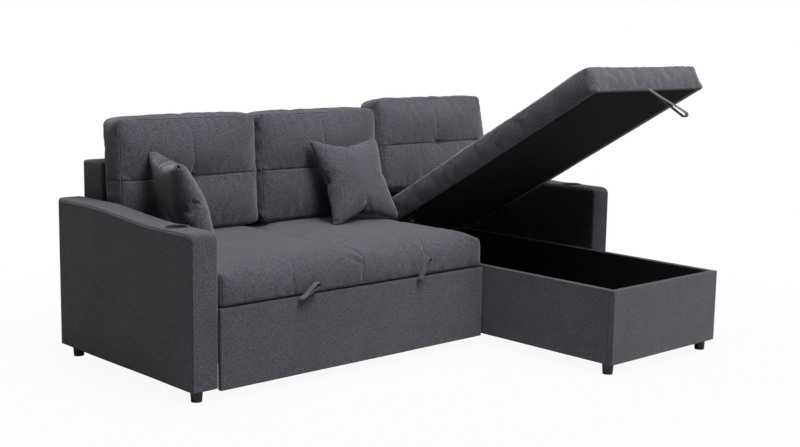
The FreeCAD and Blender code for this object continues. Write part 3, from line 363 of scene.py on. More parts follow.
def grain_group():
    """Long growth rings of sawn timber, drawn out along the board."""
    group = new_group(
        "Sawn grain",
        [("Early", (0.6, 0.42, 0.24)), ("Late", (0.38, 0.24, 0.12)), ("Ring", 40.0)],
        [("Color", "NodeSocketColor"), ("Height", "NodeSocketFloat")],
    )
    bench = Bench(group)
    given = bench.node("NodeGroupInput").outputs
    point = bench.node("ShaderNodeTexCoord").outputs["Object"]
    drawn = bench.stretched(point, (0.25, 1.0, 1.0))
    bend = bench.noise(drawn, 5.0, 3.0)
    rings = bench.math("FRACT", bench.times(bend, given["Ring"]))
    fibre = bench.noise(bench.stretched(point, (18, 420, 420)), 1.0, 2.0)
    share = bench.times(rings, bench.plus(0.35, bench.times(fibre, 0.6)))
    colour = bench.blend(share, given["Early"], given["Late"])
    height = bench.plus(fibre, bench.times(rings, 0.4))
    bench.node("NodeGroupOutput", Color=colour, Height=height)
    return group


GROUP_MAKERS = {
    "Heathered weave": weave_group,
    "Sewn seam": stitch_group,
    "Scuffed surface": wear_group,
    "Sawn grain": grain_group,
}


def group_node(bench, name, **sockets):
    tree = bpy.data.node_groups.get(name) or GROUP_MAKERS[name]()
    return bench.node("ShaderNodeGroup", {"node_tree": tree}, **sockets).outputs


def new_material(name, bump, distance, **constants):
    """A material with a Principled shader, constants on its sockets and a bump node ready for a height."""
    material = bpy.data.materials.new(name)
    material.use_nodes = True
    bench = Bench(material.node_tree)
    relief = bench.node("ShaderNodeBump", Strength=bump, Distance=distance)
    shader = material.node_tree.nodes["Principled BSDF"]
    bench.feed_named(shader, Normal=relief.outputs["Normal"], **constants)
    return material, bench, shader, relief


def cloth_material(name, cloth, pale, dark, thread=1.1, mottle=0.85, sewn=True, sheen=0.35):
    material, bench, shader, relief = new_material(
        name, 0.55, 0.6 * MM, Sheen_Weight=sheen, Sheen_Roughness=0.45, Specular_IOR_Level=0.18
    )
    weave = group_node(
        bench, "Heathered weave", Cloth=cloth, Pale=pale, Dark=dark, Thread=thread, Mottle=mottle
    )
    colour, height = weave["Color"], weave["Height"]
    if sewn:
        seam = group_node(bench, "Sewn seam", Color=colour, Height=height, Stitch=pale)
        colour, height = seam["Color"], seam["Height"]
    bench.feed_named(shader, Base_Color=colour, Roughness=weave["Roughness"])
    bench.feed(relief.inputs["Height"], height)
    return material


def plain_cloth(name, shade, paler, darker, thread, mottle, sheen):
    """Cloth without seams, whose threads are so many times paler and darker than its shade."""
    pale, dark = tuple(paler * c for c in shade), tuple(c / darker for c in shade)
    return cloth_material(name, tuple(shade), pale, dark, thread, mottle, False, sheen)


def hard_material(name, colour, worn, roughness, grain, metallic):
    material, bench, shader, relief = new_material(name, 0.2, 0.2 * MM, Metallic=metallic)
    scuffed = group_node(bench, "Scuffed surface", Color=colour, Worn=worn, Roughness=roughness, Grain=grain)
    bench.feed_named(shader, Base_Color=scuffed["Color"], Roughness=scuffed["Roughness"])
    bench.feed(relief.inputs["Height"], scuffed["Height"])
    return material


def wood_material(name, early, late, ring):
    material, bench, shader, relief = new_material(name, 0.35, 0.3 * MM, Roughness=0.62)
    grain = group_node(bench, "Sawn grain", Early=early, Late=late, Ring=ring)
    bench.feed(shader.inputs["Base Color"], grain["Color"])
    bench.feed(relief.inputs["Height"], grain["Height"])
    return material


# Early wood, late wood and the number of rings.
# Both woods are set far darker than bare wood: painted shade, since the bed frame and the seat deck's edge
# sit in shadow under the cushions.
SHADE_DARKENED_WOODS = {
    "timber": ((0.060, 0.042, 0.028), (0.030, 0.020, 0.013), 26.0),
    "plywood": ((0.050, 0.038, 0.027), (0.030, 0.022, 0.015), 12.0),
}
# Colour, worn colour, roughness, scale of the grain and share of metal.
HARD_FINISHES = {
    "black_plastic": ((0.013, 0.013, 0.014), (0.03, 0.03, 0.03), 0.48, 900.0, 0.0),
    "black_steel": ((0.016, 0.016, 0.017), (0.06, 0.06, 0.06), 0.42, 500.0, 0.0),
    "bright_steel": ((0.10, 0.10, 0.105), (0.07, 0.07, 0.07), 0.42, 260.0, 1.0),
    "wheel_rubber": ((0.03, 0.03, 0.03), (0.07, 0.07, 0.068), 0.75, 420.0, 0.0),
}


def finish_for(slot_name):
    """The finish of one of the record's material slots, made once."""
    name = slot_name + "_finish"
    return bpy.data.materials.get(name) or make_finish(slot_name, name)


def make_finish(slot_name, name):
    shades = colours()
    if slot_name == "charcoal_weave":
        threads = (shades.cloth, shades.cloth_thread, shades.cloth_shade)
        return cloth_material(name, *(tuple(shade) for shade in threads))
    if slot_name == "black_lining":
        return plain_cloth(name, shades.lining, 2, 2, 0.8, 0.5, 0.0)
    if slot_name == "webbing":
        return plain_cloth(name, shades.webbing, 1.9, 3, 1.6, 0.8, 0.2)
    if slot_name in SHADE_DARKENED_WOODS:
        return wood_material(name, *SHADE_DARKENED_WOODS[slot_name])
    return hard_material(name, *HARD_FINISHES[slot_name])


# Covers: closed grids, filled and sewn


def turned(*turns):
    """A rotation from turns in degrees about x, y or z, the last one applied first."""
    result = Matrix.Identity(3)
    for angle, axis in turns:
        result = result @ Matrix.Rotation(math.radians(angle), 3, axis)
    return result


def solid_in(node, turn):
    """A CAD solid seen along its own sides: its half size, and where its middle is."""
    world = np.array([v.co for v in NODES[node].data.vertices])
    local = world @ np.array(turn)
    middle = (local.min(0) + local.max(0)) / 2
    return local.max(0) - middle, Matrix.Translation(turn @ Vector(middle)) @ turn.to_4x4()


# How far the closer grid lines are from an edge or a mark.
SEAM_STEPS = (1.6 * MM, 3.6 * MM, 6.6 * MM, 10.5 * MM)


def grid_lines(half, step, marks=()):
    """Places from -half to half, closer together beside both ends and beside each mark."""
    stops = sorted({-half, half, *marks})
    places = [stops[0]]
    for start, end in zip(stops, stops[1:]):
        near = [d for d in SEAM_STEPS if d < (end - start) * 0.35]
        inner = near[-1] if near else 0
        count = max(1, round((end - start - 2 * inner) / step))
        places += [start + d for d in near]
        places += [start + inner + (end - start - 2 * inner) * i / count for i in range(1, count)]
        places += [end - d for d in reversed(near)]
        places.append(end)
    return places


def cuboid(xs, ys, zs):
    """Points and four-sided faces of a closed block that carries the given grid lines on its sides."""
    index = {}
    points = []

    def at(i, j, k):
        key = (i, j, k)
        if key not in index:
            index[key] = len(points)
            points.append((xs[i], ys[j], zs[k]))
        return index[key]

    last = (len(xs) - 1, len(ys) - 1, len(zs) - 1)
    faces = []
    for fixed in range(3):
        u, v = [(1, 2), (2, 0), (0, 1)][fixed]
        for side in (0, last[fixed]):
            for a in range(last[u]):
                for b in range(last[v]):
                    ring = [(a, b), (a + 1, b), (a + 1, b + 1), (a, b + 1)]
                    if side == 0:
                        ring.reverse()
                    face = []
                    for p, q in ring:
                        key = [0, 0, 0]
                        key[fixed], key[u], key[v] = side, p, q
                        face.append(at(*key))
                    faces.append(face)
    return np.array(points), faces


def soften(points, half, radius, foot=None):
    """Round a block's edges by a radius, one for all axes or one each; foot is its height at the bottom."""
    radius = np.tile(np.minimum(np.broadcast_to(radius, 3), half * 0.95), (len(points), 1))
    if foot is not None:
        radius[points[:, 2] < 0, 2] = foot
    core = np.clip(points, radius - half, half - radius)
    away = (points - core) / radius
    return core + away / np.linalg.norm(away, axis=1)[:, None] * radius


def soft_block(half, steps, radius, marks=((), (), ()), foot=None):
    """A block's points and faces, and its points with rounded edges; steps and marks are for each axis."""
    plain, faces = cuboid(*(grid_lines(*line) for line in zip(half, steps, marks)))
    return plain, faces, soften(plain, half, radius, foot)


def middle_share(places, half, power):
    """1 over the middle of a face, falling to 0 at its edges."""
    return 1 - np.clip(np.abs(places) / half, 0, 1) ** power


def bell(away, width, power=2):
    """1 where away is 0, falling off over a width."""
    return np.exp(-((away / width) ** power))


def smooth(t):
    """An even start and end for a share that goes from 0 to 1."""
    return t * t * (3 - 2 * t)


def on_underside(block, half):
    """Which points are on a block's -z side: a seat's underside, or a back cushion's rear."""
    return block[:, 2] < -half[2] + ON_FACE


def lower_top(points, half, drop):
    """Lower a block's z side by drop at each point, and the sides under it in proportion."""
    points[:, 2] -= drop * (points[:, 2] + half[2]) / (2 * half[2])


def shrink_in(mesh, amount):
    """Move a cover in along its normals, so that its filling has room to blow it out."""
    set_points(mesh, points_of(mesh) - normals_of(mesh) * np.reshape(amount, (-1, 1)))


def mesh_piece(name, points, faces, place):
    mesh = bpy.data.meshes.new(name)
    mesh.from_pydata([tuple(p) for p in points], [], faces)
    mesh.validate()
    piece = bpy.data.objects.new(name, mesh)
    bpy.context.scene.collection.objects.link(piece)
    piece.matrix_world = place
    return piece


def points_of(mesh):
    flat = np.empty(len(mesh.vertices) * 3)
    mesh.vertices.foreach_get("co", flat)
    return flat.reshape(-1, 3)


def set_points(mesh, points):
    mesh.vertices.foreach_set("co", np.asarray(points, float).ravel())
    mesh.update()


def normals_of(mesh):
    flat = np.empty(len(mesh.vertices) * 3)
    mesh.vertices.foreach_get("normal", flat)
    return flat.reshape(-1, 3)


def seam_distances(block, seams):
    """Distance to the nearest seam and the place along it, for each point of the plain block.

    A seam is two (axis, value) pairs that stay fixed along it.
    """
    off = np.full(len(block), NO_SEAM)
    run = np.zeros(len(block))
    for (first, one), (second, two) in seams:
        gap = np.hypot(block[:, first] - one, block[:, second] - two)
        along = block[:, 3 - first - second]
        nearer = gap < off
        off = np.where(nearer, gap, off)
        run = np.where(nearer, along, run)
    return off, run


def rim_seams(half, side):
    """The four edges round the face of a block at one end of its z axis."""
    z = half[2] * side
    return [((1, y), (2, z)) for y in (-half[1], half[1])] + [((0, x), (2, z)) for x in (-half[0], half[0])]


def keep_distances(mesh, off, run):
    for name, values in (("seam_off", off), ("seam_run", run)):
        attribute = mesh.attributes.new(name, "FLOAT", "POINT")
        attribute.data.foreach_set("value", np.asarray(values, np.float32))


def keep_no_seams(mesh):
    count = len(mesh.vertices)
    keep_distances(mesh, np.full(count, NO_SEAM), np.zeros(count))


def noise_at(points, scale, seed):
    shift = Vector((seed * 7.31, seed * 3.17, seed * 1.93))
    return np.array([noise.noise(Vector(p) * scale + shift) for p in points])


def fill_cover(piece, held, cap, pressure, spare, frames=20):
    """Blow a cover out over its filling as cloth; held points stay, and no point moves farther than cap."""
    mesh = piece.data
    before = points_of(mesh)
    group = piece.vertex_groups.new(name="held")
    group.add([int(i) for i in np.nonzero(held)[0]], 1.0, "REPLACE")
    cloth = piece.modifiers.new("filling", "CLOTH")
    cloth.settings.quality = 6
    cloth.settings.mass = 0.2
    cloth.settings.tension_stiffness = 20
    cloth.settings.compression_stiffness = 20
    cloth.settings.bending_stiffness = 0.12
    cloth.settings.use_pressure = True
    cloth.settings.uniform_pressure_force = pressure
    cloth.settings.shrink_min = -spare
    cloth.settings.effector_weights.gravity = 0
    cloth.settings.vertex_group_mass = "held"
    cloth.point_cache.frame_start = 1
    cloth.point_cache.frame_end = frames
    scene = bpy.context.scene
    for number in range(1, frames + 1):
        scene.frame_set(number)
    evaluated = piece.evaluated_get(bpy.context.evaluated_depsgraph_get())
    after = points_of(evaluated.data)
    piece.modifiers.remove(cloth)
    piece.vertex_groups.remove(group)
    scene.frame_set(1)
    move = after - before
    length = np.linalg.norm(move, axis=1)[:, None]
    set_points(mesh, before + move * np.minimum(1, cap / np.maximum(length, 1e-9)))


def fill_from_underside(piece, block, half, off, room, cap, spare):
    """Fill a cover that is held by its seams and its underside, once it has moved in to leave room."""
    shrink_in(piece.data, room * (block[:, 2] > -half[2] * 0.6))
    fill_cover(piece, (off < ON_SEAM) | on_underside(block, half), cap, CUSHION_PRESSURE, spare)


def apply_modifiers(piece):
    """Put the mesh that a piece's modifiers give in place of its own."""
    evaluated = piece.evaluated_get(bpy.context.evaluated_depsgraph_get())
    mesh = bpy.data.meshes.new_from_object(evaluated)
    mesh.name = piece.name
    old = piece.data
    piece.modifiers.clear()
    piece.data = mesh
    bpy.data.meshes.remove(old)


def finer(piece):
    """One subdivision, applied."""
    modifier = piece.modifiers.new("finer", "SUBSURF")
    modifier.levels = modifier.render_levels = 1
    apply_modifiers(piece)


def thicken(piece, thickness):
    """Give a sheet its thickness, half on each side."""
    shell = piece.modifiers.new("cloth", "SOLIDIFY")
    shell.thickness = thickness
    shell.offset = 0.0
    apply_modifiers(piece)


def put_on(piece, node):
    """Dress a piece in its node's finish, and let it ride with its node and stand for it."""
    slot_name = NODE_SLOTS[node]
    piece.data.shade_smooth()
    piece.data.materials.clear()
    piece.data.materials.append(finish_for(slot_name))
    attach(piece, NODES[node]["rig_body"])
    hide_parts(node)


def finish_cover(piece, node, off, run):
    """Keep the seams' distances on a cover, make it finer and dress it."""
    keep_distances(piece.data, off, run)
    finer(piece)
    put_on(piece, node)


def sew(mesh, off, run, block, seed, reach, strength, gather):
    """Sink the seams and gather the cloth in small puckers beside them, as far as reach."""
    given = sizes()
    points = points_of(mesh)
    normals = normals_of(mesh)
    groove = -given.seam_depth * strength * bell(off, given.seam_width)
    waves = noise_at(np.column_stack([run * 62, off * 9, np.zeros(len(run))]), 1.0, seed)
    ripple = noise_at(np.column_stack([run * 24, off * 6, np.ones(len(run))]), 1.0, seed + 3)
    near = np.exp(-off / reach) * (1 - bell(off, 2.5 * MM))
    pucker = given.pucker * gather * near * (waves + ripple)
    broad = noise_at(block, 6.0, seed + 5) * 2.0 * MM * (1 - np.exp(-off / (40 * MM)))
    set_points(mesh, points + normals * (groove + pucker + broad)[:, None])


def tuft(mesh, block, x, y, depth, width, seed, front):
    """Pull the front face in at a sewn tuft, with short creases that run out from it."""
    dx, dy = block[:, 0] - x, block[:, 1] - y
    radius = np.hypot(dx, dy)
    turn = np.arctan2(dy, dx)
    pull = depth * bell(radius, width, 1.3) + 0.35 * depth * bell(radius, 3 * width)
    crease = 0.2 * depth * np.cos(5 * turn + seed) * bell(radius - width, width * 0.8)
    shrink_in(mesh, (pull - crease) * (block[:, 2] > front))


def side_folds(mesh, block, half, axis, height, seed):
    """Slack folds across the boxing, on the two sides that face along an axis."""
    other = 1 - axis
    side = np.abs(block[:, axis]) > half[axis] - ON_FACE
    places = np.column_stack([block[:, other] * 36, block[:, 2] * 7, np.sign(block[:, axis])])
    fade = middle_share(block[:, 2], half[2], 4) * middle_share(block[:, other], half[other], 10)
    shrink_in(mesh, noise_at(places, 1.0, seed) * fade * side * height)


def make_back_cushion(node, raised, seed, sag=0.0):
    """A boxed cushion, sewn across and tufted; sag is how far its own weight presses it together."""
    given = sizes()
    half, place = solid_in(node, turned((90 - CUSHION_LEAN - raised, "X")))
    cross = half[1] * (2 * CROSS_SEAM_SHARE - 1)
    radius = np.array((30, 30, 20)) * MM
    block, faces, points = soft_block(half, [given.cover_step] * 3, radius, ((0.0,), (cross,), ()))
    crown = middle_share(block[:, 0], half[0], 4) * middle_share(block[:, 1], half[1], 4)
    valley = bell(np.abs(block[:, 1] - cross), 26 * MM, 1.4)
    lower_top(points, half, given.crown * (1 - crown) + 0.2 * given.crown * valley * crown)
    # The foot is pressed flat on the seat.
    foot = np.clip(1 - (block[:, 1] + half[1]) / (50 * MM), 0, 1)
    points[:, 1] -= 7 * MM * foot * middle_share(block[:, 0], half[0], 8)
    points[:, 1] -= sag * (points[:, 1] + half[1]) / (2 * half[1])
    piece = mesh_piece(node + "_cover", points, faces, place)
    mesh = piece.data
    off, run = seam_distances(block, rim_seams(half, 1) + rim_seams(half, -1) + [((1, cross), (2, half[2]))])
    fill_from_underside(piece, block, half, off, 4 * MM, given.filling_cap, given.spare_cloth * 0.5)
    side_folds(mesh, block, half, 0, 3.5 * MM, seed + 70)
    side_folds(mesh, block, half, 1, 2.5 * MM, seed + 80)
    sew(mesh, off, run, block, seed, 24 * MM, 0.65, 0.45)
    tuft(mesh, block, 0.0, cross, given.tuft_depth, 26 * MM, seed, half[2] * 0.5)
    # A soft vertical crease runs up from the tuft and fades before the top.
    above = np.clip((block[:, 1] - cross) / (half[1] - cross), 0, 1)
    fade = np.where(block[:, 1] > cross, 1 - above ** 2, 0)
    shrink_in(mesh, 3.2 * MM * bell(block[:, 0], 9 * MM) * fade * (block[:, 2] > half[2] * 0.5))
    finish_cover(piece, node, off, run)


def make_seat_cushion():
    given = sizes()
    node = "seat_cushion"
    half, place = solid_in(node, turned())
    quarter = half[0] / 2
    steps = (given.seat_step, given.seat_step, given.cover_step)
    marks = ((-quarter, 0.0, quarter), (0.0,), ())
    block, faces, points = soft_block(half, steps, np.array((20, 26, 24)) * MM, marks)
    forward = np.clip(-block[:, 1] / half[1], 0, 1)
    crown = middle_share(block[:, 0], half[0], 6) * (1 - forward ** 6)
    valley = bell(np.abs(block[:, 0]), 28 * MM, 1.4)
    # The front edge falls away in a soft waterfall.
    fall = 10 * MM * bell(block[:, 1] + half[1], 48 * MM)
    lower_top(points, half, 0.8 * given.crown * (1 - crown) + 0.5 * given.crown * valley * crown + fall)
    piece = mesh_piece("seat_cushion_cover", points, faces, place)
    mesh = piece.data
    seams = rim_seams(half, -1) + [((0, 0.0), (2, half[2])), ((0, 0.0), (1, -half[1]))]
    seams += [((0, x), (2, half[2])) for x in (-half[0], half[0])] + [((1, half[1]), (2, half[2]))]
    off, run = seam_distances(block, seams)
    # The centre seam ends a little way down the front.
    low_front = (block[:, 1] < -half[1] + ON_FACE) & (block[:, 2] < half[2] * 0.2)
    off = np.where(low_front & (np.abs(block[:, 0]) < 60 * MM), np.maximum(off, 30 * MM), off)
    fill_from_underside(piece, block, half, off, 4 * MM, 0.6 * given.filling_cap, given.spare_cloth * 0.35)
    side_folds(mesh, block, half, 1, 1.6 * MM, 12)
    sew(mesh, off, run, block, 11, 20 * MM, 0.9, 0.5)
    for x, seed in ((-quarter, 1), (quarter, 2)):
        tuft(mesh, block, x, 0.0, given.tuft_depth * 0.9, 24 * MM, seed, half[2] * 0.5)
    finish_cover(piece, node, off, run)


def make_lid_cushion():
    """The chaise cushion, with a hollow in its underside for the lid's frame."""
    given = sizes()
    node = "lid_cushion"
    turn = turned((-LID_LIFT, "X"))
    half, place = solid_in(node, turn)
    back_turn = turn.transposed()
    middle = back_turn @ place.translation
    hinge = back_turn @ Vector((0, HINGE_Y, HINGE_Z))
    cross = hinge.y + ARM_FRONT_Y + LID_SEAM_SETBACK - HINGE_Y - middle.y
    low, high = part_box("lid_frame")
    sides = (low.x - middle.x - MM, high.x - middle.x + MM)
    end = half[1] - (low.x - middle.x + half[0])
    steps = (given.seat_step, given.seat_step, given.cover_step)
    marks = (sides, (-end, cross, end), ())
    block, faces, points = soft_block(half, steps, np.array((13, 15, 13)) * MM, marks)
    forward = np.clip(-block[:, 1] / half[1], 0, 1)
    crown = middle_share(block[:, 0], half[0], 7) * (1 - forward ** 14)
    valley = bell(np.abs(block[:, 1] - cross), 28 * MM, 1.4)
    lower_top(points, half, 1.15 * given.crown * (1 - crown) + 0.4 * given.crown * valley * crown)
    under = on_underside(block, half)
    over_frame = (block[:, 0] > sides[0] + ON_FACE) & (block[:, 0] < sides[1] - ON_FACE)
    over_frame &= under & (np.abs(block[:, 1]) < end - ON_FACE)
    points[over_frame, 2] += 23 * MM
    piece = mesh_piece("lid_cushion_cover", points, faces, place)
    mesh = piece.data
    off, run = seam_distances(block, rim_seams(half, 1) + [((1, cross), (2, half[2]))])
    fill_from_underside(piece, block, half, off, 3 * MM, 0.35 * given.filling_cap, given.spare_cloth * 0.3)
    # The rear half of the boxing is slack.
    slack = np.clip((block[:, 1] + 0.05) / 0.5, 0.25, 1)
    side_folds(mesh, block, half, 0, 4.0 * MM * slack, 21)
    side_folds(mesh, block, half, 1, 2.0 * MM, 22)
    off = np.where(under, NO_SEAM, off)
    sew(mesh, off, run, block * (1 - under)[:, None], 23, 20 * MM, 0.8, 0.3)
    finish_cover(piece, node, off, run)


def pillow_panels(half, count):
    """Points and faces of two panels that share their rim, and which of the points are on it."""
    bend = math.pi / 2 * PILLOW_CROWDING
    ticks = np.sin(np.linspace(-1, 1, count + 1) * math.pi / 2 * PILLOW_CROWDING) / math.sin(bend)
    index = {}
    points, edge = [], []
    for side in (1, -1):
        for i, u in enumerate(ticks):
            for j, v in enumerate(ticks):
                rim = i in (0, count) or j in (0, count)
                if rim and side < 0:
                    index[(side, i, j)] = index[(1, i, j)]
                    continue
                index[(side, i, j)] = len(points)
                x = u * (1 - PILLOW_DRAW * (1 - v * v))
                y = v * (1 - PILLOW_DRAW * (1 - u * u))
                rise = ((1 - u * u) * (1 - v * v)) ** PILLOW_FULLNESS
                points.append((x * half[0], y * half[1], side * rise * half[2]))
                edge.append(rim)
    faces = []
    for side in (1, -1):
        for i in range(count):
            for j in range(count):
                ring = [(i, j), (i + 1, j), (i + 1, j + 1), (i, j + 1)]
                if side < 0:
                    ring.reverse()
                faces.append([index[(side, a, b)] for a, b in ring])
    return np.array(points), faces, np.array(edge)


def swell(piece, points, half):
    """Blow up a pillow's panels from nearly flat, then set it to the solid's size."""
    set_points(piece.data, points * np.array((1.05, 1.05, 0.35)))
    fill_cover(piece, np.zeros(len(points), bool), 90 * MM, PILLOW_PRESSURE, 0.0, 32)
    swollen = points_of(piece.data)
    swollen -= (swollen.max(0) + swollen.min(0)) / 2
    swollen *= half / swollen.max(0)
    set_points(piece.data, swollen)


def make_throw_pillow(node, turn, seed):
    """Two square panels with a knife edge, which has a narrow sewn lip and is gathered a little."""
    given = sizes()
    half, place = solid_in(node, turn)
    points, faces, edge = pillow_panels(half, int(round(2 * half[0] / given.pillow_step)))
    piece = mesh_piece(node + "_cover", points, faces, place)
    mesh = piece.data
    swell(piece, points, half)
    reach = np.abs(points)
    across = np.minimum(half[0] - reach[:, 0], half[1] - reach[:, 1])
    off = np.where(edge, 0, np.maximum(across, 2 * MM))
    run = np.where(reach[:, 0] > reach[:, 1], points[:, 1], points[:, 0])
    gathers = noise_at(np.column_stack([run * 70, off * 12, points[:, 2] * 3]), 1.0, seed)
    lift = given.pucker * 0.8 * np.exp(-off / (26 * MM)) * gathers * (~edge)
    broad = noise_at(points, 9.0, seed + 2) * 3.0 * MM * np.clip(off / (60 * MM), 0, 1)
    shrink_in(mesh, -(lift + broad))
    finish_cover(piece, node, off, run)


def make_mattress():
    given = sizes()
    node = "bed_mattress"
    half, place = solid_in(node, turned())
    steps = (1.5 * given.seat_step, 1.5 * given.seat_step, given.cover_step)
    block, faces, points = soft_block(half, steps, 16 * MM, ((0.0,), (), ()))
    crown = middle_share(block[:, 0], half[0], 6) * middle_share(block[:, 1], half[1], 6)
    lower_top(points, half, 8 * MM * (1 - crown))
    piece = mesh_piece("bed_mattress_cover", points, faces, place)
    mesh = piece.data
    off, run = seam_distances(block, rim_seams(half, 1) + rim_seams(half, -1) + [((0, 0.0), (2, half[2]))])
    shrink_in(mesh, 2 * MM)
    side_folds(mesh, block, half, 1, 2.0 * MM, 33)
    sew(mesh, off, run, block, 31, 16 * MM, 0.7, 0.6)
    finish_cover(piece, node, off, run)


# Upholstered boards and frames


def make_board(node, seams, seed, radius=None, dome=0.6 * MM):
    """A board with its cloth pulled round soft edges; seams gives the block edges that are sewn."""
    given = sizes()
    half, place = solid_in(node, turned())
    block, faces, points = soft_block(half, [1.6 * given.cover_step] * 3, radius or given.panel_round)
    piece = mesh_piece(node + "_cover", points, faces, place)
    mesh = piece.data
    off, run = seam_distances(block, seams(half))
    normals = np.abs(normals_of(mesh))
    inside = np.ones(len(block))
    for axis in range(3):
        inside *= np.where(normals[:, axis] > 0.9, 1, middle_share(block[:, axis], half[axis], 8))
    rise = noise_at(block, 5.0, seed) * dome * inside
    shrink_in(mesh, 1.5 * MM * bell(off, 2.5 * MM) - rise + dome)
    finish_cover(piece, node, off, run)


def upright_edges(half):
    return [((0, x), (1, -half[1])) for x in (-half[0], half[0])]


def top_edges(half):
    return [((1, y), (2, half[2])) for y in (-half[1], half[1])]


def make_arm(side):
    """An arm: side panels, and a band that runs up the front, over the top and down the rear."""
    given = sizes()
    node = side + "_arm_cover"
    low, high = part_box(side + "_cup_holder")
    half, place = solid_in(node, turned())
    cup = (low + high) / 2 - place.translation
    cup_radius = (high.x - low.x) / 2
    top = high.z + 1.6 * MM - place.translation.z
    steps = (given.cover_step, given.cover_step, 1.5 * given.cover_step)
    block, faces, points = soft_block(half, steps, np.array((6, 5, 6)) * MM, foot=2 * MM)
    climb = np.clip((points[:, 1] + half[1] - ARM_FLAT) / ARM_RISE, 0, 1)
    nose = np.clip(1 - (points[:, 1] + half[1]) / ARM_NOSE, 0, 1)
    shoulder = np.clip(1 - (half[0] - np.abs(points[:, 0])) / (16 * MM), 0, 1)
    drop = (half[2] - top) * (1 - smooth(climb)) + ARM_NOSE * (1 - np.sqrt(1 - 0.9 * nose ** 2))
    drop += 8 * MM * shoulder ** 2
    lower_top(points, half, drop)
    piece = mesh_piece(side + "_arm_upholstery", points, faces, place)
    mesh = piece.data
    seams = []
    for x in (-half[0], half[0]):
        seams += [((0, x), (2, half[2])), ((0, x), (1, -half[1])), ((0, x), (1, half[1]))]
    off, run = seam_distances(block, seams)
    gap = np.hypot(block[:, 0] - cup.x, block[:, 1] - cup.y)
    flat = bell(np.maximum(gap - cup_radius, 0), 14 * MM) * (block[:, 2] > half[2] - ON_FACE)
    rise = noise_at(block, 6.0, 41 if side == "left" else 42) * 1.4 * MM * np.clip(off / (30 * MM), 0, 1)
    groove = 1.4 * MM * bell(off, 2.6 * MM)
    shrink_in(mesh, (groove - rise + 0.6 * MM) * (1 - flat))
    keep_distances(mesh, off, run)
    finer(piece)
    drill = cup_drill(piece, cup, cup_radius, top, high.z - low.z + 4 * MM)
    put_on(piece, node)
    bpy.data.objects.remove(drill)
    make_cup_rim(side, low, high, cup_radius)


def cup_drill(piece, cup, radius, top, depth):
    """Cut the cup holder's hole through the cover with a round plug."""
    count = CUP_SIDES
    turns = [2 * math.pi * i / count for i in range(count)]
    ring = [(cup.x + radius * math.cos(turn), cup.y + radius * math.sin(turn)) for turn in turns]
    points = [(x, y, top - depth) for x, y in ring] + [(x, y, top + 30 * MM) for x, y in ring]
    faces = [list(reversed(range(count))), list(range(count, 2 * count))]
    faces += [[i, (i + 1) % count, count + (i + 1) % count, count + i] for i in range(count)]
    drill = mesh_piece("cup_drill", points, faces, piece.matrix_world.copy())
    keep_no_seams(drill.data)
    cut = piece.modifiers.new("cup", "BOOLEAN")
    cut.operation = "DIFFERENCE"
    cut.solver = "EXACT"
    cut.object = drill
    apply_modifiers(piece)
    return drill


def make_cup_rim(side, low, high, radius):
    """The rolled cloth edge round the cup holder's hole."""
    centre = (low + high) / 2
    around, through = CUP_SIDES, 12
    roll = 2.6 * MM
    points, faces = [], []
    for i in range(around):
        turn = 2 * math.pi * i / around
        for j in range(through):
            tilt = 2 * math.pi * j / through
            reach = radius + 1.0 * MM + roll * math.cos(tilt)
            level = high.z + 1.2 * MM + 0.7 * roll * math.sin(tilt)
            points.append((centre.x + reach * math.cos(turn), centre.y + reach * math.sin(turn), level))
            a, b = (i + 1) % around, (j + 1) % through
            faces.append([i * through + j, a * through + j, a * through + b, i * through + b])
    piece = mesh_piece(side + "_cup_rim", points, faces, Matrix.Identity(4))
    piece.data.shade_smooth()
    keep_no_seams(piece.data)
    piece.data.materials.append(finish_for("charcoal_weave"))
    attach(piece, "sofa_base")


# Linings and webbing


def make_box_lining():
    """Black cloth inside the storage box: four sides and a floor."""
    low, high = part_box("chaise_lining")
    middle = (low + high) / 2
    half = np.array((high - low) / 2)
    wall = 1.2 * MM
    block, faces = cuboid(*[grid_lines(h - wall / 2, 22 * MM) for h in half])
    top = half[2] - wall / 2
    faces = [list(reversed(f)) for f in faces if not all(block[i][2] > top - 0.01 * MM for i in f)]
    piece = mesh_piece("box_lining", block, faces, Matrix.Translation(middle))
    thicken(piece, wall)
    put_on(piece, "chaise_lining")


def make_lid_lining():
    """Black cloth stapled under the lid's frame; it hangs a little between the rails."""
    node = "lid_lining"
    half, place = solid_in(node, turned((-LID_LIFT, "X")))
    count = [max(2, round(2 * h / (14 * MM))) for h in half[:2]]
    us = np.linspace(-1, 1, count[0] + 1)
    vs = np.linspace(-1, 1, count[1] + 1)
    points, faces = [], []
    for v in vs:
        for u in us:
            slack = noise.noise(Vector((u * 2.3, v * 5.1, 4.2))) * 0.6
            free = (1 - u ** 6) * (1 - v ** 6)
            points.append((u * half[0], v * half[1], slack * free * half[2]))
    wide = count[0] + 1
    for j in range(count[1]):
        for i in range(count[0]):
            faces.append([j * wide + i, j * wide + i + 1, (j + 1) * wide + i + 1, (j + 1) * wide + i])
    piece = mesh_piece("lid_dust_cloth", points, faces, place)
    thicken(piece, 0.8 * MM)
    put_on(piece, node)


def loop_path(length, opening, sewn, thick):
    """Centre line of a folded pull loop in its own plane: up one side, round the tip and down the other."""
    half = opening / 2 + thick / 2
    shoulder = length - thick / 2 - half
    side = [(thick / 2, 0.0), (thick / 2, sewn * 0.5)]
    for t in np.linspace(0, 1, 18):
        side.append((thick / 2 + (half - thick / 2) * smooth(t), sewn + (shoulder - sewn) * t))
    cap = [(half * math.cos(a), shoulder + half * math.sin(a)) for a in np.linspace(0, math.pi, 13)[1:-1]]
    return side + cap + [(-x, y) for x, y in reversed(side)]


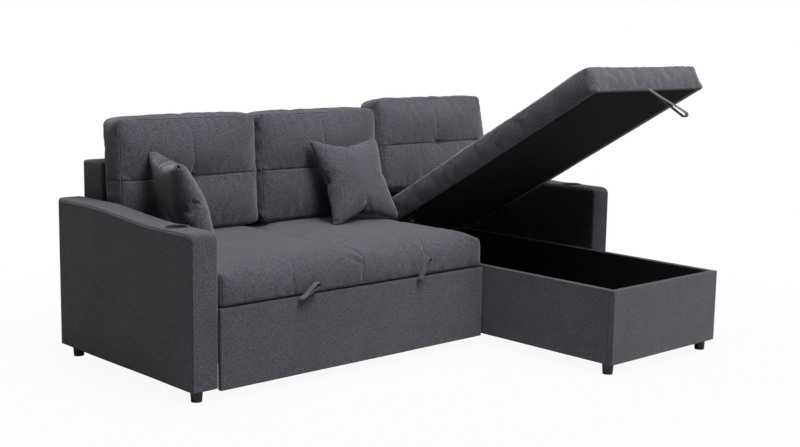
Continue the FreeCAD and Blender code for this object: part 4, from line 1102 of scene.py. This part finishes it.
def make_strap(node, name, root, along, out, wide, length, opening, sewn):
    """A strip of webbing folded into a loop, which runs along from its root; wide is the way across it."""
    thick, width = 1.9 * MM, 21.6 * MM
    path = loop_path(length, opening, sewn, thick)
    flat = [Vector(p).to_3d() for p in path]
    ridge = np.linspace(-0.5, 0.5, 13)
    points, faces = [], []
    count = len(path)
    for index, here in enumerate(flat):
        before, after = flat[max(index - 1, 0)], flat[min(index + 1, count - 1)]
        run = (after - before).normalized()
        normal = Vector((run.y, -run.x, 0))
        for face in (1, -1):
            for share in ridge if face > 0 else ridge[::-1]:
                edge = 1 - 0.55 * abs(2 * share) ** 10
                spot = here + normal * (face * thick / 2 * edge)
                points.append(root + out * spot.x + along * spot.y + wide * (share * width))
    ring = 2 * len(ridge)
    for i in range(count - 1):
        for j in range(ring):
            k = (j + 1) % ring
            faces.append([i * ring + j, i * ring + k, (i + 1) * ring + k, (i + 1) * ring + j])
    faces.append(list(reversed(range(ring))))
    faces.append([(count - 1) * ring + j for j in range(ring)])
    piece = mesh_piece(name, points, faces, Matrix.Identity(4))
    put_on(piece, node)


def make_straps():
    """Each loop starts at its root in the CAD, found from the ends of its solid along the loop."""
    drop = math.radians(LID_LOOP_DROP)
    along = Vector((0, -math.cos(drop), -math.sin(drop)))
    out = Vector((0, math.sin(drop), -math.cos(drop)))
    low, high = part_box("lid_pull_strap")
    root = strap_root("lid_pull_strap", along, out, LID_LOOP)
    root.x = (low.x + high.x) / 2
    wide = Vector((1, 0, 0))
    make_strap("lid_pull_strap", "lid_pull_loop", root, along, out, wide, 189 * MM, 15 * MM, 24 * MM)
    for node, name, lean in (
        ("left_bed_strap", "left_bed_pull_loop", 59),
        ("right_bed_strap", "right_bed_pull_loop", 32),
    ):
        angle = math.radians(lean)
        along = Vector((math.sin(angle), 0, math.cos(angle)))
        out = Vector((math.cos(angle), 0, -math.sin(angle)))
        root = strap_root(node, along, out, BED_LOOP)
        low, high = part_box(node)
        root.y = low.y + 11 * MM
        make_strap(node, name, root, along, out, Vector((0, 1, 0)), 91 * MM, 12 * MM, 12 * MM)


def strap_root(node, along, out, length):
    """The point a loop's length behind its tip, midway across its opening."""
    points = np.array([v.co for v in NODES[node].data.vertices])
    reach = points @ np.array(along)
    side = points @ np.array(out)
    tip = reach.max()
    near_tip = reach > tip - 30 * MM
    across = (side[near_tip].max() + side[near_tip].min()) / 2
    third = along.cross(out)
    depth = float(np.mean(points @ np.array(third)))
    return along * (tip - length) + out * across + third * depth


# The pieces, one operator each


class SOFA_OT_back_cushions(bpy.types.Operator):
    """Three back cushions with a stitched cross seam and a tuft; the right one is pushed up by the lid"""

    bl_idname = "sofa.back_cushions"
    bl_label = "Back cushions"

    def execute(self, context):
        make_back_cushion("left_back_cushion", 0.0, 1)
        make_back_cushion("middle_back_cushion", 0.0, 2)
        make_back_cushion("right_back_cushion", RAISED_LEAN, 3, 16 * MM)
        return {"FINISHED"}


class SOFA_OT_seat_cushion(bpy.types.Operator):
    """Two-place seat cushion with a centre seam and two tufts"""

    bl_idname = "sofa.seat_cushion"
    bl_label = "Seat cushion"

    def execute(self, context):
        make_seat_cushion()
        return {"FINISHED"}


class SOFA_OT_lid_cushion(bpy.types.Operator):
    """Chaise cushion on the lifting lid, boxed and sewn across"""

    bl_idname = "sofa.lid_cushion"
    bl_label = "Chaise lid cushion"

    def execute(self, context):
        make_lid_cushion()
        return {"FINISHED"}


class SOFA_OT_throw_pillows(bpy.types.Operator):
    """Two knife-edge throw pillows"""

    bl_idname = "sofa.throw_pillows"
    bl_label = "Throw pillows"

    def execute(self, context):
        make_throw_pillow("middle_throw_pillow", turned((90 - MIDDLE_PILLOW_LEAN, "X")), 51)
        side = turned((-SIDE_PILLOW_TURN, "Z"), (SIDE_PILLOW_LEAN, "X"), (SIDE_PILLOW_ROLL, "Y"), (90, "X"))
        make_throw_pillow("left_throw_pillow", side, 57)
        return {"FINISHED"}


class SOFA_OT_mattress(bpy.types.Operator):
    """Mattress of the pull-out bed section"""

    bl_idname = "sofa.mattress"
    bl_label = "Bed mattress"

    def execute(self, context):
        make_mattress()
        return {"FINISHED"}


class SOFA_OT_arms(bpy.types.Operator):
    """Both arms with their sewn bands and the holes for the cup holders"""

    bl_idname = "sofa.arms"
    bl_label = "Arms"

    def execute(self, context):
        make_arm("left")
        make_arm("right")
        return {"FINISHED"}


class SOFA_OT_boards(bpy.types.Operator):
    """Upholstered back, front panel of the bed and panels of the storage box"""

    bl_idname = "sofa.boards"
    bl_label = "Upholstered boards"

    def execute(self, context):
        make_board("back_cover", top_edges, 61, 12 * MM, 1.2 * MM)
        make_board("bed_front_panel", top_edges, 62)
        make_board("chaise_front_panel", upright_edges, 63)
        make_board("chaise_left_panel", top_edges, 64)
        make_board("chaise_right_panel", top_edges, 65)
        make_board("chaise_rear_panel", top_edges, 66)
        return {"FINISHED"}


class SOFA_OT_linings(bpy.types.Operator):
    """Black cloth inside the storage box and under the lid"""

    bl_idname = "sofa.linings"
    bl_label = "Linings"

    def execute(self, context):
        make_box_lining()
        make_lid_lining()
        return {"FINISHED"}


class SOFA_OT_pull_straps(bpy.types.Operator):
    """Webbing pull loops of the lid and of the bed's front panel"""

    bl_idname = "sofa.pull_straps"
    bl_label = "Pull straps"

    def execute(self, context):
        make_straps()
        return {"FINISHED"}


class SOFA_OT_hard_parts(bpy.types.Operator):
    """Finishes for the feet, frames, struts, hinges, runners and casters"""

    bl_idname = "sofa.hard_parts"
    bl_label = "Hard parts"

    def execute(self, context):
        for name, node in NODES.items():
            if node.hide_render:
                continue
            node.data.materials.clear()
            node.data.materials.append(finish_for(NODE_SLOTS[name]))
        return {"FINISHED"}


class SOFA_OT_studio(bpy.types.Operator):
    """Pale floor, soft lamps, white surroundings and the camera"""

    bl_idname = "sofa.studio"
    bl_label = "Studio"

    def execute(self, context):
        make_camera()
        make_floor()
        make_world()
        make_lamps()
        context.scene.view_settings.view_transform = "Standard"
        return {"FINISHED"}


# Studio

CAMERA_PLACE = (-3.2461, -3.3995, 1.1965)
CAMERA_TURN = (81.3534, -0.9674, -42.8232)
CAMERA_LENS = 57.70
# The share of plain white in what the camera sees of the floor near the sofa, and the floor's half width.
FLOOR_GLOW = 0.94
FLOOR_HALF = 40.0
WORLD_STRENGTH = 0.08
# Name, place, aim, width, power and colour.
LAMPS = (
    ("key", (-0.2, -2.6, 5.0), (0.0, 0.1, 0.4), 3.0, 345, (1.0, 0.99, 1.0)),
    ("overhead", (0.2, 0.2, 4.6), (0.0, 0.0, 0.4), 4.0, 110, (1.0, 1.0, 1.0)),
    ("front_fill", (2.0, -4.5, 2.0), (0.0, 0.0, 0.4), 2.5, 10, (1.0, 1.0, 1.0)),
)


def make_camera():
    data = bpy.data.cameras.new("camera")
    data.sensor_width = 36
    data.lens = CAMERA_LENS
    data.clip_end = 60
    camera = bpy.data.objects.new("camera", data)
    camera.location = CAMERA_PLACE
    camera.rotation_euler = [math.radians(a) for a in CAMERA_TURN]
    bpy.context.scene.collection.objects.link(camera)
    bpy.context.scene.camera = camera


def make_floor():
    """A wide pale floor that keeps the sofa's shadow and turns plain white away from it."""
    half = FLOOR_HALF
    corners = [(-half, -half, 0), (half, -half, 0), (half, half, 0), (-half, half, 0)]
    floor = mesh_piece("floor", np.array(corners), [[0, 1, 2, 3]], Matrix.Translation((0, 0, -0.2 * MM)))
    material = bpy.data.materials.new("pale_floor")
    material.use_nodes = True
    tree = material.node_tree
    bench = Bench(tree)
    shader = tree.nodes["Principled BSDF"]
    bench.feed_named(shader, Base_Color=tuple(colours().floor), Roughness=0.9, Specular_IOR_Level=0.1)
    glow = bench.node("ShaderNodeEmission", Color=(1.0, 1.0, 1.0), Strength=1.0)
    distance = bench.node("ShaderNodeVectorMath", {"operation": "LENGTH"})
    bench.feed(distance.inputs[0], bench.node("ShaderNodeTexCoord").outputs["Object"])
    away = bench.ramp(distance.outputs["Value"], 1.1, 2.4)
    share = bench.plus(FLOOR_GLOW, bench.times(away, 1 - FLOOR_GLOW))
    seen = bench.times(bench.node("ShaderNodeLightPath").outputs["Is Camera Ray"], share)
    mix = bench.mix_shaders(seen, shader.outputs[0], glow.outputs[0])
    bench.feed(tree.nodes["Material Output"].inputs["Surface"], mix)
    floor.data.materials.append(material)


def make_world():
    world = bpy.data.worlds.new("studio")
    bpy.context.scene.world = world
    world.use_nodes = True
    tree = world.node_tree
    bench = Bench(tree)
    path = bench.node("ShaderNodeLightPath").outputs
    mirrored = bench.math("MAXIMUM", path["Is Glossy Ray"], path["Is Transmission Ray"])
    white = bench.math("MAXIMUM", path["Is Camera Ray"], mirrored)
    lit = bench.feed_named(tree.nodes["Background"], Color=(0.97, 0.97, 1.0), Strength=WORLD_STRENGTH)
    plain = bench.node("ShaderNodeBackground", Color=(1.0, 1.0, 1.0), Strength=1.0)
    mix = bench.mix_shaders(white, lit.outputs[0], plain.outputs[0])
    bench.feed(tree.nodes["World Output"].inputs["Surface"], mix)


def make_lamps():
    for name, place, target, size, power, colour in LAMPS:
        data = bpy.data.lights.new(name, "AREA")
        data.shape = "DISK"
        data.size = size
        data.energy = power
        data.color = colour
        lamp = bpy.data.objects.new(name, data)
        lamp.location = place
        lamp.rotation_euler = (Vector(target) - Vector(place)).to_track_quat("-Z", "Y").to_euler()
        bpy.context.scene.collection.objects.link(lamp)


PIECES = (
    SOFA_OT_arms,
    SOFA_OT_boards,
    SOFA_OT_back_cushions,
    SOFA_OT_seat_cushion,
    SOFA_OT_lid_cushion,
    SOFA_OT_throw_pillows,
    SOFA_OT_mattress,
    SOFA_OT_linings,
    SOFA_OT_pull_straps,
    SOFA_OT_hard_parts,
    SOFA_OT_studio,
)


class SOFA_PT_pieces(bpy.types.Panel):
    """The sofa's pieces, in the order in which they are made"""

    bl_label = "Storage sofa"
    bl_space_type = "VIEW_3D"
    bl_region_type = "UI"
    bl_category = "Sofa"

    def draw(self, context):
        for group in (context.scene.sofa_sizes, context.scene.sofa_colours):
            box = self.layout.box()
            for name in group.__annotations__:
                box.prop(group, name)
        for piece in PIECES:
            self.layout.operator(piece.bl_idname)


CLASSES = (SofaSizes, SofaColours, *PIECES, SOFA_PT_pieces)


def register():
    for item in CLASSES:
        bpy.utils.register_class(item)
    bpy.types.Scene.sofa_sizes = bpy.props.PointerProperty(type=SofaSizes)
    bpy.types.Scene.sofa_colours = bpy.props.PointerProperty(type=SofaColours)


def unregister():
    del bpy.types.Scene.sofa_colours
    del bpy.types.Scene.sofa_sizes
    for item in reversed(CLASSES):
        bpy.utils.unregister_class(item)


def main():
    register()
    for piece in PIECES:
        area, name = piece.bl_idname.split(".")
        getattr(getattr(bpy.ops, area), name)()


if __name__ == "__main__":
    main()
